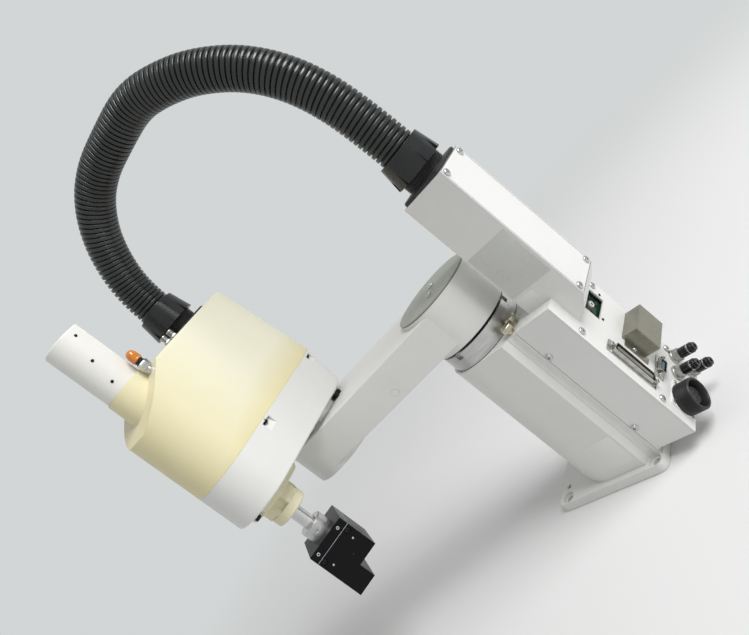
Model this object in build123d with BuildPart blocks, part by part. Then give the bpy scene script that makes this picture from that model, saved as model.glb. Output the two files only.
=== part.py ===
from build123d import *
import math
import os

os.makedirs("parts", exist_ok=True)

# A four-axis SCARA arm on its pedestal. Millimetres, +Z up. The origin is where the axis of
# the first joint meets the underside of the mounting flange, +X is the way the robot faces,
# and the cable duct and the connector panel are at the rear, towards -X.

# Arms, and the angles at which they stand: arm 1 from +X, arm 2 from arm 1.
arm1_length = 225
arm2_length = 125
joint1_rest = 19.1
joint2_rest = 77.2

# Fits
running_gap = 0.05
slip_gap = 0.3
sheet = 1.5

# Base casting: flange, column and the narrower rear that the connector box continues.
flange_length = 148
flange_width = 120
flange_thickness = 10.5
flange_centre = 8
flange_corner = 9
bolt_inset_front = 14
bolt_inset_rear = 10
bolt_inset_side = 9
bolt_hole_radius = 4.5
bolt_head_radius = 7.5
bolt_head_depth = 3
pin_hole_radius = 3
pin_hole_spacing = 68
pin_hole_inset = 12
column_radius = 52
column_top = 212
column_wall = 9
column_step_x = 44
column_bevel = 6
rear_half_width = 45
seam_x = 63.5
motor_bay_floor = 16
deck_thickness = 20
rear_opening_width = 66
spline_seat_depth = 16
spline_seat_shoulder = 7

# Connector box, its panel and the board behind the window
panel_x = 111
panel_thickness = 2
box_bottom = 17
box_rise = 1.5
box_inner_wall = 2
window_centre_y = -14
window_centre_z = 163.5
window_width = 32
window_height = 20
board_thickness = 1.6
board_standoff = 3.4

# Cable duct, with its back cover
duct_front = 79.7
duct_back = 138
duct_half_width = 27.7
duct_height = 161.2
duct_cover_drop = 15.5
duct_tail_x = 125.5
duct_tail_drop = 29
duct_toe_drop = 36
duct_lip = 8

# Screws on the sheet metal
screw_head_radius = 3.9
screw_head_height = 2.4
screw_shank_radius = 2
duct_screw_y = 22
duct_screw_inset = 5.5
panel_screw_y = 38
panel_screw_top = 171.5
panel_screw_bottom = 63.7
box_screw_x = 67.4
box_screw_top = 170.9
box_screw_bottom = 52.6

# Connectors and fittings on the panel: y and z of each centre
signal_y = 26.5
signal_z = 106.4
signal_jack_spacing = 61.1
signal_flange_length = 67
signal_flange_height = 15.4
user_y = -1
user_z = 70.5
user_jack_spacing = 25
user_flange_length = 30.8
user_flange_height = 12.5
shell_depth = 6
shell_wall = 0.8
jack_radius = 2.4
jack_height = 5.5
hood_y = -18.8
hood_z = 107
hood_width = 40
hood_height = 33
hood_depth = 20
power_y = 17
power_z = 35.5
power_flange = 34
power_flange_thickness = 1.5
power_radius = 17.5
power_length = 19
power_bore = 14.5
power_core_radius = 9.5
power_recess = 5
air_points = ((-35, 52), (-14, 47), (-34, 28))
air_seat_radius = 8
air_seat_height = 3
air_nut_radius = 7.2
air_nut_height = 9
air_body_radius = 5.8
air_length = 24
air_ring_radius = 4.6
air_ring_height = 2.5
air_bore = 2
air_bore_depth = 10

# Corrugated conduit and its glands
hose_radius = 21.25
gland_square = 54
gland_flange_thickness = 4
gland_body_radius = 24
gland_body_height = 20
gland_bore = 18
nut_base_radius = 29
nut_tip_radius = 25.3
nut_height = 27
nut_lift = 14
nut_grips = 8
nut_grip_width = 8
nut_grip_depth = 2.2
nut_plain_height = 4

# Reducers: bearing ring below the arm, output disc, cup spline and wave generator
ring1_radius = 49
ring1_bore = 38
ring1_height = 21
ring1_notches = (84, 191, 298)
ring_notch_width = 8
ring_notch_depth = 7
spline_seat_radius = 35
spline_ring_bore = 28.3
spline_ring_height = 10
cup_radius = 28
cup_wall = 1.2
cup_bore = 9
generator_radius = 26.4
generator_height = 6
generator_shaft_radius = 5
motor_radius = 29
motor_length = 88
motor_flange = 62
motor_flange_thickness = 8
stop_bolt_radius = 7
stop_bolt_head = 6
stop_bolt_shank_radius = 4
stop_bolt_height = 10
motor_shaft_depth = 20
cup_lift = 1
generator_lift = 2

# Arm 1
hub_radius = 51
hub_step = 0.5
hub_lift = 3.4
hub_height = 56.9
hub_cap_thickness = 1.5
elbow_radius = 54
elbow_drop = 6.1
link_lift = 6.1
link_depth = 45
link_wall = 6
link_roof = 7
link_cover_thickness = 2
link_hollow_margin = 4
hub_wall = 12
hub_floor = 6
hub_cap_screw_spacing = 26
plug_station = 98
plug_lift = 11.5
plug_radius = 4.5
ring2_radius = 44
ring2_bore = 33
ring2_height = 6.5
elbow_floor = 15.6
stop_screw_back = 48
stop_screw_sides = (3.5, -4.5)
stop_screw_radius = 3.5
stop_screw_height = 5

# Arm 2: casting and moulded cover, wider where they meet
arm2_lift = 2
arm2_casting_height = 54
arm2_cover_height = 127
tip_radius = 47
butt_bottom_radius = 56.5
butt_seam_radius = 62
butt_top_radius = 51.5
arm2_wall = 7
arm2_floor = 9
cover_wall = 2.5
slope_margin = 19
slope_drop = 38
slope_run = 60
pocket_stations = (-21, arm2_length - 35)
pocket_width = 13
pocket_height = 18
pocket_depth = 5
tower_radius = 24
tower_back = 10.5
socket_height = 6
tower_height = 79
tower_wall = 1.8
socket_lip = 1.5
arm2_gland_station = 13.5
arm2_gland_side = 0
lamp_station = arm2_length - 13
lamp_side = 33
lamp_radius = 6
lamp_height = 14
lamp_foot_radius = 4.5
lamp_foot_height = 4
lamp_hex_radius = 6.5
lamp_hex_height = 8
lamp_neck_radius = 5
lamp_neck_height = 4
fitting_stations = ((46, 20), (58, 20))
fitting_hex_radius = 4.8

# Drives in arm 2
deck_height = 56
deck_plate = 5
deck_margin = 8
pillar_radius = 5
pillar_points = ((-30, 24), (-30, -24), (20, 40), (20, -40)) + (
    (arm2_length + 27, 15), (arm2_length + 27, -15)
)
elbow_motor_radius = 25
elbow_motor_length = 74
motor_bore_depth = 15
motor_shaft_grip = 12
drive_station = 58
drive_side = 24
drive_motor_radius = 19
drive_motor_length = 67
drive_pulley_radius = 11
drive_shaft_radius = 4
quill_pulley_radius = 21
pulley_width = 12
belt_thickness = 2
belt_width = 10
belt_gap = 0.3

# Quill: spline nut, screw nut, shaft and what it carries
shaft_radius = 8
shaft_bore = 4
shaft_headroom = 10
shaft_grip = 10
shaft_groove_radius = 1.2
nut_radius = 15
spline_nut_lift = 4
housing_radius = 20
housing_flange_radius = 25
housing_height = 34
housing_flange_thickness = 5
deck_boss_height = 15
plate_radius = 32
plate_stretch = 12
plate_corner = 20
plate_thickness = 8
boss_radius = 17.5
boss_lug_width = 20
boss_lug_depth = 3
boss_height = 14
boss_ring_radius = 21.5
boss_ring_height = 12
boss_bore = 9
collar_radius = 15
collar_drop = 58
collar_height = 16
collar_screw_radius = 2.5
block_yaw = 53.6
block_width = 52
block_depth = 58
block_plate_thickness = 11
block_height = 38
block_leg_width = 25
block_leg_height = 20
block_bore_radius = 3.8
block_bore_depth = 2
block_bore_drop = 4
block_bore_spacing = 40
block_pin_radius = 1.3
block_pin_drop = 14
block_pin_spacing = 34
tap_radius = 2.1
tap_depth = 10
tap_spacing = 24

# Places that follow from the sizes above
arm2_heading = joint1_rest + joint2_rest
elbow_x = arm1_length * math.cos(math.radians(joint1_rest))
elbow_y = arm1_length * math.sin(math.radians(joint1_rest))
quill_x = elbow_x + arm2_length * math.cos(math.radians(arm2_heading))
quill_y = elbow_y + arm2_length * math.sin(math.radians(arm2_heading))
bolt_spacing_x = flange_length - bolt_inset_front - bolt_inset_rear
bolt_spacing_y = flange_width - 2 * bolt_inset_side
bolt_centre = flange_centre + (bolt_inset_rear - bolt_inset_front) / 2
box_top = column_top + box_rise
duct_top = box_top + duct_height
duct_cover_bottom = box_top - duct_cover_drop
duct_tail_z = box_top - duct_tail_drop
duct_toe_z = box_top - duct_toe_drop
deck_bottom = column_top - deck_thickness
spline_ring_bottom = column_top - spline_seat_depth
ring1_top = column_top + ring1_height
hub_bottom = ring1_top + hub_lift
hub_top = hub_bottom + hub_height
link_bottom = hub_bottom + link_lift
link_top = link_bottom + link_depth
plug_z = link_bottom + plug_lift
elbow_bottom = link_bottom - elbow_drop
elbow_bore_bottom = elbow_bottom + elbow_floor
ring2_bottom = link_top
arm2_bottom = ring2_bottom + ring2_height + arm2_lift
arm2_seam = arm2_bottom + arm2_casting_height
cover_top = arm2_seam + arm2_cover_height
slope_start = arm2_length - slope_margin
tower_seam = cover_top + socket_height
tower_top = tower_seam + tower_height
deck_z = arm2_bottom + deck_height
spline_nut_bottom = arm2_bottom + spline_nut_lift
housing_top = arm2_bottom + housing_height
shaft_top = tower_top - shaft_headroom
collar_top = arm2_bottom - collar_drop
block_top = collar_top - collar_height
duct_mid_x = (duct_front + duct_back) / 2
hollow_near = hub_radius + link_hollow_margin
hollow_far = arm1_length - elbow_radius - link_hollow_margin
hollow_half_width = hub_radius - hub_step - link_wall


def level(z):
    return Plane.XY.offset(z)


def turned(x, y, z, heading):
    ahead = (math.cos(math.radians(heading)), math.sin(math.radians(heading)), 0)
    return Plane(origin=(x, y, z), x_dir=ahead, z_dir=(0, 0, 1))


def arm1_level(z):
    return turned(0, 0, z, joint1_rest)


def elbow_level(z):
    return turned(elbow_x, elbow_y, z, arm2_heading)


def quill_level(z):
    return turned(quill_x, quill_y, z, arm2_heading)


def upright(x):
    """A plane across the robot at -x, its own x along +Y and its own y along +Z."""
    return Plane(origin=(-x, 0, 0), x_dir=(0, 1, 0), z_dir=(1, 0, 0))


def lobe(near_radius, far_radius, length):
    """Two round ends joined by their common tangents, the near one on the origin."""
    lean = math.asin((near_radius - far_radius) / length)
    near = (near_radius * math.sin(lean), near_radius * math.cos(lean))
    far = (length + far_radius * math.sin(lean), far_radius * math.cos(lean))
    with BuildSketch() as outline:
        with BuildLine():
            Line(near, far)
            ThreePointArc(far, (length + far_radius, 0), (far[0], -far[1]))
            Line((far[0], -far[1]), (near[0], -near[1]))
            ThreePointArc((near[0], -near[1]), (-near_radius, 0), near)
        make_face()
    return outline.sketch


# Base

with BuildPart() as base_casting:
    with BuildSketch(Plane.XY):
        with Locations((flange_centre, 0)):
            RectangleRounded(flange_length, flange_width, flange_corner)
    extrude(amount=flange_thickness)
    with BuildSketch(level(flange_thickness)):
        Circle(column_radius)
        with BuildLine():
            Polyline(
                (0, column_radius),
                (-column_step_x, column_radius),
                (-column_step_x - column_bevel, rear_half_width),
                (-seam_x, rear_half_width),
                (-seam_x, -rear_half_width),
                (-column_step_x - column_bevel, -rear_half_width),
                (-column_step_x, -column_radius),
                (0, -column_radius),
                close=True,
            )
        make_face()
    extrude(amount=column_top - flange_thickness)
    # motor bay, open to the rear into the connector box
    bay_depth = deck_bottom - motor_bay_floor
    with BuildSketch(level(motor_bay_floor)):
        Circle(column_radius - column_wall)
        with Locations((-seam_x / 2, 0)):
            Rectangle(seam_x, rear_opening_width)
    extrude(amount=bay_depth, mode=Mode.SUBTRACT)
    # seat of the reducer in the deck above the bay
    with BuildSketch(level(spline_ring_bottom)):
        Circle(spline_seat_radius)
    extrude(amount=column_top - spline_ring_bottom, mode=Mode.SUBTRACT)
    with BuildSketch(level(deck_bottom)):
        Circle(spline_seat_radius - spline_seat_shoulder)
    extrude(amount=deck_thickness, mode=Mode.SUBTRACT)
    with Locations((bolt_centre, 0, flange_thickness)):
        with GridLocations(bolt_spacing_x, bolt_spacing_y, 2, 2):
            CounterBoreHole(bolt_hole_radius, bolt_head_radius, bolt_head_depth)
    with Locations((flange_centre + flange_length / 2 - pin_hole_inset, 0, flange_thickness)):
        with GridLocations(1, pin_hole_spacing, 1, 2):
            Hole(pin_hole_radius)
base_casting.part.label = "base_casting"
export_step(base_casting.part, "parts/base_casting.step")

# The sheet-metal box runs from the casting's rear to the panel.
box_inside = panel_x - panel_thickness
duct_inner_front = duct_front + sheet
with BuildPart() as connector_box:
    with BuildSketch(upright(box_inside)):
        with Locations((0, (box_bottom + box_top) / 2)):
            Rectangle(2 * rear_half_width, box_top - box_bottom)
            Rectangle(
                2 * (rear_half_width - box_inner_wall),
                box_top - box_bottom - 2 * box_inner_wall,
                mode=Mode.SUBTRACT,
            )
    extrude(amount=box_inside - seam_x)
    # cable opening under the duct
    with BuildSketch(level(box_top - 2 * box_inner_wall)):
        with Locations((-(duct_inner_front + box_inside) / 2, 0)):
            Rectangle(box_inside - duct_inner_front - 4, 2 * duct_half_width - 12)
    extrude(amount=3 * box_inner_wall, mode=Mode.SUBTRACT)
    for z in (box_screw_top, box_screw_bottom):
        with Locations(Plane(origin=(-box_screw_x, 0, z), z_dir=(0, 1, 0))):
            Cylinder(
                screw_shank_radius + slip_gap / 2,
                3 * rear_half_width,
                mode=Mode.SUBTRACT,
            )
connector_box.part.label = "connector_box"
export_step(connector_box.part, "parts/connector_box.step")

with BuildPart() as connector_panel:
    with BuildSketch(upright(panel_x)):
        with Locations((0, (box_bottom + box_top) / 2)):
            Rectangle(2 * rear_half_width, box_top - box_bottom)
        with Locations((window_centre_y, window_centre_z)):
            Rectangle(window_width, window_height, mode=Mode.SUBTRACT)
        with Locations((signal_y, signal_z)):
            Rectangle(11, signal_flange_length - 12, mode=Mode.SUBTRACT)
        with Locations((user_y, user_z)):
            Rectangle(user_flange_length - 12, 9, mode=Mode.SUBTRACT)
        with Locations((power_y, power_z)):
            Circle(power_bore - 2, mode=Mode.SUBTRACT)
        with Locations(*air_points):
            Circle(air_ring_radius, mode=Mode.SUBTRACT)
        with Locations(
            (-panel_screw_y, panel_screw_top),
            (panel_screw_y, panel_screw_top),
            (-panel_screw_y, panel_screw_bottom),
            (panel_screw_y, panel_screw_bottom),
        ):
            Circle(screw_shank_radius + slip_gap / 2, mode=Mode.SUBTRACT)
    extrude(amount=panel_thickness)
connector_panel.part.label = "connector_panel"
export_step(connector_panel.part, "parts/connector_panel.step")

with BuildPart() as interface_board:
    with BuildSketch(upright(box_inside - board_standoff)):
        with Locations((window_centre_y, window_centre_z)):
            Rectangle(window_width + 6, window_height + 10)
    extrude(amount=board_thickness)
    with BuildSketch(upright(box_inside)):
        with Locations((window_centre_y, window_centre_z)):
            with GridLocations(window_width - 4, window_height + 6, 2, 2):
                Circle(1.6)
    extrude(amount=board_standoff)
    with BuildSketch(upright(box_inside - board_standoff)):
        with Locations((window_centre_y - 2, window_centre_z + 1)):
            Circle(3.5)
    extrude(amount=-2.4)
interface_board.part.label = "interface_board"
export_step(interface_board.part, "parts/interface_board.step")

# Duct: a folded box that stands on the connector box and hangs down behind the panel.
cover_seat = duct_back - sheet
lip_face = cover_seat - sheet
with BuildPart() as cable_duct:
    with BuildSketch(Plane.XZ):
        with BuildLine():
            Polyline(
                (-duct_front, box_top),
                (-duct_front, duct_top),
                (-duct_back, duct_top),
                (-duct_back, duct_cover_bottom),
                (-duct_tail_x, duct_tail_z),
                (-panel_x, duct_toe_z),
                (-panel_x, box_top),
                close=True,
            )
        make_face()
    extrude(amount=duct_half_width, both=True)
    with BuildSketch(Plane.XZ):
        with BuildLine():
            Polyline(
                (-duct_inner_front, box_top),
                (-duct_inner_front, duct_top - sheet),
                (-lip_face, duct_top - sheet),
                (-lip_face, duct_cover_bottom + 2 * sheet),
                (-duct_tail_x, duct_tail_z + 2 * sheet),
                (-panel_x, duct_toe_z + 2 * sheet),
                (-panel_x, box_top),
                close=True,
            )
        make_face()
    extrude(amount=duct_half_width - sheet, both=True, mode=Mode.SUBTRACT)
    # back opening inside the lip, and the recess that takes the cover
    cover_mid_z = (duct_cover_bottom + duct_top) / 2
    cover_height = duct_top - duct_cover_bottom
    with BuildSketch(upright(duct_back)):
        with Locations((0, cover_mid_z)):
            Rectangle(
                2 * (duct_half_width - duct_lip), cover_height - 2 * duct_lip
            )
    extrude(amount=3 * sheet, mode=Mode.SUBTRACT)
    with BuildSketch(upright(duct_back)):
        with Locations((0, cover_mid_z)):
            Rectangle(2 * (duct_half_width - sheet), cover_height)
    extrude(amount=sheet, mode=Mode.SUBTRACT)
    with BuildSketch(level(duct_top)):
        with Locations((-duct_mid_x, 0)):
            Circle(gland_bore)
    extrude(amount=-2 * sheet, mode=Mode.SUBTRACT)
cable_duct.part.label = "cable_duct"
export_step(cable_duct.part, "parts/cable_duct.step")

duct_screw_points = [
    (side * duct_screw_y, z)
    for z in (duct_top - duct_screw_inset, duct_cover_bottom + duct_screw_inset + 1)
    for side in (-1, 1)
]
with BuildPart() as duct_cover:
    with BuildSketch(upright(duct_back)):
        with Locations((0, cover_mid_z)):
            Rectangle(2 * (duct_half_width - sheet - 0.2), cover_height - 0.4)
        with Locations(*duct_screw_points):
            Circle(screw_shank_radius + slip_gap / 2, mode=Mode.SUBTRACT)
    extrude(amount=sheet)
duct_cover.part.label = "duct_cover"
export_step(duct_cover.part, "parts/duct_cover.step")

# Pan-head screws of the duct cover, the panel and the box's two sides
box_skin = 2 * rear_half_width
with BuildPart() as cover_screws:
    with BuildSketch(upright(duct_back)):
        with Locations(*duct_screw_points):
            Circle(screw_head_radius)
    extrude(amount=-screw_head_height)
    with BuildSketch(upright(duct_back)):
        with Locations(*duct_screw_points):
            Circle(screw_shank_radius)
    extrude(amount=sheet)
    panel_screw_points = [
        (side * panel_screw_y, z)
        for z in (panel_screw_top, panel_screw_bottom)
        for side in (-1, 1)
    ]
    with BuildSketch(upright(panel_x)):
        with Locations(*panel_screw_points):
            Circle(screw_head_radius)
    extrude(amount=-screw_head_height)
    with BuildSketch(upright(panel_x)):
        with Locations(*panel_screw_points):
            Circle(screw_shank_radius)
    extrude(amount=panel_thickness)
    for side in (-1, 1):
        for z in (box_screw_top, box_screw_bottom):
            flank = Plane(
                origin=(-box_screw_x, side * rear_half_width, z), z_dir=(0, side, 0)
            )
            with BuildSketch(flank):
                Circle(screw_head_radius)
            extrude(amount=screw_head_height)
            with BuildSketch(flank):
                Circle(screw_shank_radius)
            extrude(amount=-box_inner_wall)
cover_screws.part.label = "cover_screws"
export_step(cover_screws.part, "parts/cover_screws.step")

# Panel connectors stand out towards -X.
with BuildPart() as signal_connector:
    with BuildSketch(upright(panel_x)):
        with Locations((signal_y, signal_z)):
            Rectangle(signal_flange_height, signal_flange_length)
    extrude(amount=-1)
    with BuildSketch(upright(panel_x)):
        with Locations((signal_y, signal_z)):
            RectangleRounded(signal_flange_height - 4, signal_jack_spacing - 7, 3)
            RectangleRounded(
                signal_flange_height - 4 - 2 * shell_wall,
                signal_jack_spacing - 7 - 2 * shell_wall,
                2.2,
                mode=Mode.SUBTRACT,
            )
            Rectangle(signal_flange_height - 9, signal_jack_spacing - 13)
    extrude(amount=-shell_depth)
    with BuildSketch(upright(panel_x)):
        with Locations((signal_y, signal_z)):
            with GridLocations(1, signal_jack_spacing, 1, 2):
                RegularPolygon(jack_radius, 6)
    extrude(amount=-jack_height)
signal_connector.part.label = "signal_connector"
export_step(signal_connector.part, "parts/signal_connector.step")

with BuildPart() as user_connector:
    with BuildSketch(upright(panel_x)):
        with Locations((user_y, user_z)):
            Rectangle(user_flange_length, user_flange_height)
    extrude(amount=-1)
    with BuildSketch(upright(panel_x)):
        with Locations((user_y, user_z)):
            RectangleRounded(user_jack_spacing - 7.5, user_flange_height - 3.5, 2.5)
            RectangleRounded(
                user_jack_spacing - 7.5 - 2 * shell_wall,
                user_flange_height - 3.5 - 2 * shell_wall,
                1.8,
                mode=Mode.SUBTRACT,
            )
            Rectangle(user_jack_spacing - 12, user_flange_height - 8)
    extrude(amount=-shell_depth)
    with BuildSketch(upright(panel_x)):
        with Locations((user_y, user_z)):
            with GridLocations(user_jack_spacing, 1, 2, 1):
                RegularPolygon(jack_radius, 6)
    extrude(amount=-jack_height)
user_connector.part.label = "user_connector"
export_step(user_connector.part, "parts/user_connector.step")

with BuildPart() as connector_hood:
    with BuildSketch(upright(panel_x)):
        with Locations((hood_y, hood_z)):
            Rectangle(hood_width, hood_height)
    extrude(amount=-hood_depth)
    fillet(connector_hood.faces().sort_by(Axis.X)[0].edges(), 1.5)
    with BuildSketch(upright(panel_x)):
        with Locations((hood_y, hood_z)):
            Rectangle(hood_width - 2 * sheet, hood_height - 2 * sheet)
    extrude(amount=sheet - hood_depth, mode=Mode.SUBTRACT)
connector_hood.part.label = "connector_hood"
export_step(connector_hood.part, "parts/connector_hood.step")

with BuildPart() as power_connector:
    with BuildSketch(upright(panel_x)):
        with Locations((power_y, power_z)):
            RectangleRounded(power_flange, power_flange, 3)
    extrude(amount=-power_flange_thickness)
    with BuildSketch(upright(panel_x)):
        with Locations((power_y, power_z)):
            Circle(power_radius)
    extrude(amount=-power_length)
    with BuildSketch(upright(panel_x + power_recess)):
        with Locations((power_y, power_z)):
            Circle(power_bore)
    extrude(amount=-power_length, mode=Mode.SUBTRACT)
    with BuildSketch(upright(panel_x)):
        with Locations((power_y, power_z)):
            Circle(power_core_radius)
    extrude(amount=power_recess - power_length)
power_connector.part.label = "power_connector"
export_step(power_connector.part, "parts/power_connector.step")

with BuildPart() as air_fittings:
    # each a stack of rounds on a hexagon, out from the panel
    with BuildSketch(upright(panel_x)):
        with Locations(*air_points):
            RegularPolygon(air_nut_radius, 6)
    extrude(amount=-air_nut_height)
    for radius, length in (
        (air_seat_radius, air_seat_height),
        (air_body_radius, air_length),
        (air_ring_radius, air_length + air_ring_height),
    ):
        with BuildSketch(upright(panel_x)):
            with Locations(*air_points):
                Circle(radius)
        extrude(amount=-length)
    with BuildSketch(upright(panel_x + air_length + air_ring_height)):
        with Locations(*air_points):
            Circle(air_bore)
    extrude(amount=air_bore_depth, mode=Mode.SUBTRACT)
air_fittings.part.label = "air_fittings"
export_step(air_fittings.part, "parts/air_fittings.step")


def gland_body(base):
    """Square flange and threaded barrel that the conduit stands on."""
    with BuildPart() as body:
        with BuildSketch(base):
            RectangleRounded(gland_square, gland_square, 5)
        extrude(amount=gland_flange_thickness)
        with BuildSketch(base):
            Circle(gland_body_radius)
        extrude(amount=gland_flange_thickness + gland_body_height)
        with BuildSketch(base):
            Circle(gland_bore)
        extrude(
            amount=gland_flange_thickness + gland_body_height, mode=Mode.SUBTRACT
        )
    return body.part


def gland_nut(base):
    """Tapered union nut with grips, round the barrel and the conduit's end."""
    foot = base.offset(nut_lift)
    seat = gland_flange_thickness + gland_body_height - nut_lift
    with BuildPart() as nut:
        with BuildSketch(foot):
            Circle(nut_base_radius)
        with BuildSketch(foot.offset(nut_height)):
            Circle(nut_tip_radius)
        loft()
        with BuildSketch(foot):
            with PolarLocations(nut_base_radius, nut_grips):
                Rectangle(2 * nut_grip_depth, nut_grip_width)
        extrude(amount=nut_height - nut_plain_height, mode=Mode.SUBTRACT)
        with BuildSketch(foot):
            Circle(gland_body_radius + slip_gap / 2)
        extrude(amount=seat + slip_gap, mode=Mode.SUBTRACT)
        with BuildSketch(foot):
            Circle(hose_radius + slip_gap)
        extrude(amount=nut_height, mode=Mode.SUBTRACT)
    return nut.part


gland_seat = gland_flange_thickness + gland_body_height
duct_gland_base = turned(-duct_mid_x, 0, duct_top, 0)
with BuildPart() as duct_gland:
    add(gland_body(duct_gland_base))
duct_gland.part.label = "duct_gland"
export_step(duct_gland.part, "parts/duct_gland.step")

with BuildPart() as duct_gland_nut:
    add(gland_nut(duct_gland_base))
duct_gland_nut.part.label = "duct_gland_nut"
export_step(duct_gland_nut.part, "parts/duct_gland_nut.step")

# Joint 1

with BuildPart() as joint1_motor:
    with BuildSketch(level(deck_bottom)):
        RectangleRounded(motor_flange, motor_flange, 6)
    extrude(amount=-motor_flange_thickness)
    with BuildSketch(level(deck_bottom)):
        Circle(motor_radius)
    extrude(amount=-motor_length)
    with BuildSketch(level(deck_bottom)):
        Circle(generator_shaft_radius + running_gap)
    extrude(amount=-motor_shaft_depth, mode=Mode.SUBTRACT)
joint1_motor.part.label = "joint1_motor"
export_step(joint1_motor.part, "parts/joint1_motor.step")

with BuildPart() as joint1_circular_spline:
    with BuildSketch(level(spline_ring_bottom)):
        Circle(spline_seat_radius - 0.02)
        Circle(spline_ring_bore, mode=Mode.SUBTRACT)
    extrude(amount=spline_ring_height)
joint1_circular_spline.part.label = "joint1_circular_spline"
export_step(joint1_circular_spline.part, "parts/joint1_circular_spline.step")

with BuildPart() as joint1_ring:
    with BuildSketch(level(column_top)):
        Circle(ring1_radius)
        Circle(ring1_bore, mode=Mode.SUBTRACT)
    extrude(amount=ring1_height)
    for heading in ring1_notches:
        notch = turned(0, 0, ring1_top, heading)
        with BuildSketch(notch):
            with Locations((ring1_radius, 0)):
                Rectangle(8, ring_notch_width)
        extrude(amount=-ring_notch_depth, mode=Mode.SUBTRACT)
joint1_ring.part.label = "joint1_ring"
export_step(joint1_ring.part, "parts/joint1_ring.step")

stop_bolt_places = ((-55.5, 37), (-55.5, 21.5))
with BuildPart() as joint1_stop_bolts:
    with BuildSketch(level(column_top)):
        with Locations(*stop_bolt_places):
            Circle(stop_bolt_shank_radius)
    extrude(amount=stop_bolt_height)
    with BuildSketch(level(column_top + stop_bolt_height - stop_bolt_head)):
        with Locations(*stop_bolt_places):
            RegularPolygon(stop_bolt_radius, 6)
    extrude(amount=stop_bolt_head)
joint1_stop_bolts.part.label = "joint1_stop_bolts"
export_step(joint1_stop_bolts.part, "parts/joint1_stop_bolts.step")


def wave_generator(base, shaft_length, shaft_depth):
    """Oval cam on its input shaft; the plane is the underside of the cam."""
    with BuildPart() as generator:
        with BuildSketch(base):
            Ellipse(generator_radius, generator_radius - 0.6)
        extrude(amount=generator_height)
        with BuildSketch(base.offset(-shaft_depth)):
            Circle(generator_shaft_radius)
        extrude(amount=shaft_depth + shaft_length)
    return generator.part


def output_cup(base, disc_radius, disc_thickness, cup_depth):
    """Output disc with the thin cup that hangs under it; the plane is its top."""
    with BuildPart() as output:
        with BuildSketch(base):
            Circle(disc_radius)
        extrude(amount=-disc_thickness)
        with BuildSketch(base.offset(-disc_thickness)):
            Circle(cup_radius)
            Circle(cup_radius - cup_wall, mode=Mode.SUBTRACT)
        extrude(amount=-cup_depth)
        with BuildSketch(base):
            Circle(cup_bore)
        extrude(amount=-disc_thickness, mode=Mode.SUBTRACT)
    return output.part


generator1_bottom = spline_ring_bottom + generator_lift
with BuildPart() as joint1_wave_generator:
    add(wave_generator(level(generator1_bottom), generator_height, motor_shaft_depth))
joint1_wave_generator.part.label = "joint1_wave_generator"
export_step(joint1_wave_generator.part, "parts/joint1_wave_generator.step")

# Arm 1

output1_bottom = column_top + 2
with BuildPart() as joint1_output:
    add(
        output_cup(
            arm1_level(hub_bottom),
            ring1_bore - running_gap,
            hub_bottom - output1_bottom,
            output1_bottom - spline_ring_bottom - cup_lift,
        )
    )
joint1_output.part.label = "joint1_output"
export_step(joint1_output.part, "parts/joint1_output.step")

with BuildPart() as arm1_link:
    with BuildSketch(arm1_level(link_bottom)):
        add(lobe(hub_radius - hub_step, elbow_radius, arm1_length))
    extrude(amount=link_depth)
    fillet(arm1_link.faces().sort_by(Axis.Z)[-1].edges(), 2)
    with BuildSketch(arm1_level(hub_bottom)):
        Circle(hub_radius)
    extrude(amount=hub_top - hub_cap_thickness - hub_bottom)
    with BuildSketch(arm1_level(elbow_bottom)):
        with Locations((arm1_length, 0)):
            Circle(elbow_radius)
    extrude(amount=link_bottom - elbow_bottom)
    # underside of the link, hollow between hub and elbow and closed by a cover
    with BuildSketch(arm1_level(link_bottom)):
        with Locations(((hollow_near + hollow_far) / 2, 0)):
            Rectangle(hollow_far - hollow_near, 2 * hollow_half_width)
    extrude(amount=link_depth - link_roof, mode=Mode.SUBTRACT)
    # hub bore above the output disc, and the seat of the elbow reducer
    with BuildSketch(arm1_level(hub_bottom + hub_floor)):
        Circle(hub_radius - hub_wall)
    extrude(amount=hub_top, mode=Mode.SUBTRACT)
    with BuildSketch(arm1_level(hub_bottom)):
        Circle(cup_bore)
    extrude(amount=hub_floor, mode=Mode.SUBTRACT)
    with BuildSketch(arm1_level(elbow_bore_bottom)):
        with Locations((arm1_length, 0)):
            Circle(spline_seat_radius)
    extrude(amount=link_top, mode=Mode.SUBTRACT)
    # plug hole in the left flank
    flank = Plane(
        origin=arm1_level(plug_z).from_local_coords((plug_station, 0, 0)),
        x_dir=(0, 0, 1),
        z_dir=(-math.sin(math.radians(joint1_rest)), math.cos(math.radians(joint1_rest)), 0),
    )
    with BuildSketch(flank.offset(hub_radius - link_wall - 1)):
        Circle(plug_radius + slip_gap / 2)
    extrude(amount=2 * link_wall, mode=Mode.SUBTRACT)
arm1_link.part.label = "arm1_link"
export_step(arm1_link.part, "parts/arm1_link.step")

with BuildPart() as arm1_plug:
    with BuildSketch(flank.offset(hub_radius - link_wall + 0.5)):
        Circle(plug_radius)
    extrude(amount=link_wall + 0.6)
arm1_plug.part.label = "arm1_plug"
export_step(arm1_plug.part, "parts/arm1_plug.step")

with BuildPart() as hub_cap:
    with BuildSketch(arm1_level(hub_top)):
        Circle(hub_radius)
        with GridLocations(1, hub_cap_screw_spacing, 1, 2):
            Circle(screw_shank_radius + slip_gap / 2, mode=Mode.SUBTRACT)
    extrude(amount=-hub_cap_thickness)
hub_cap.part.label = "hub_cap"
export_step(hub_cap.part, "parts/hub_cap.step")

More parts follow.
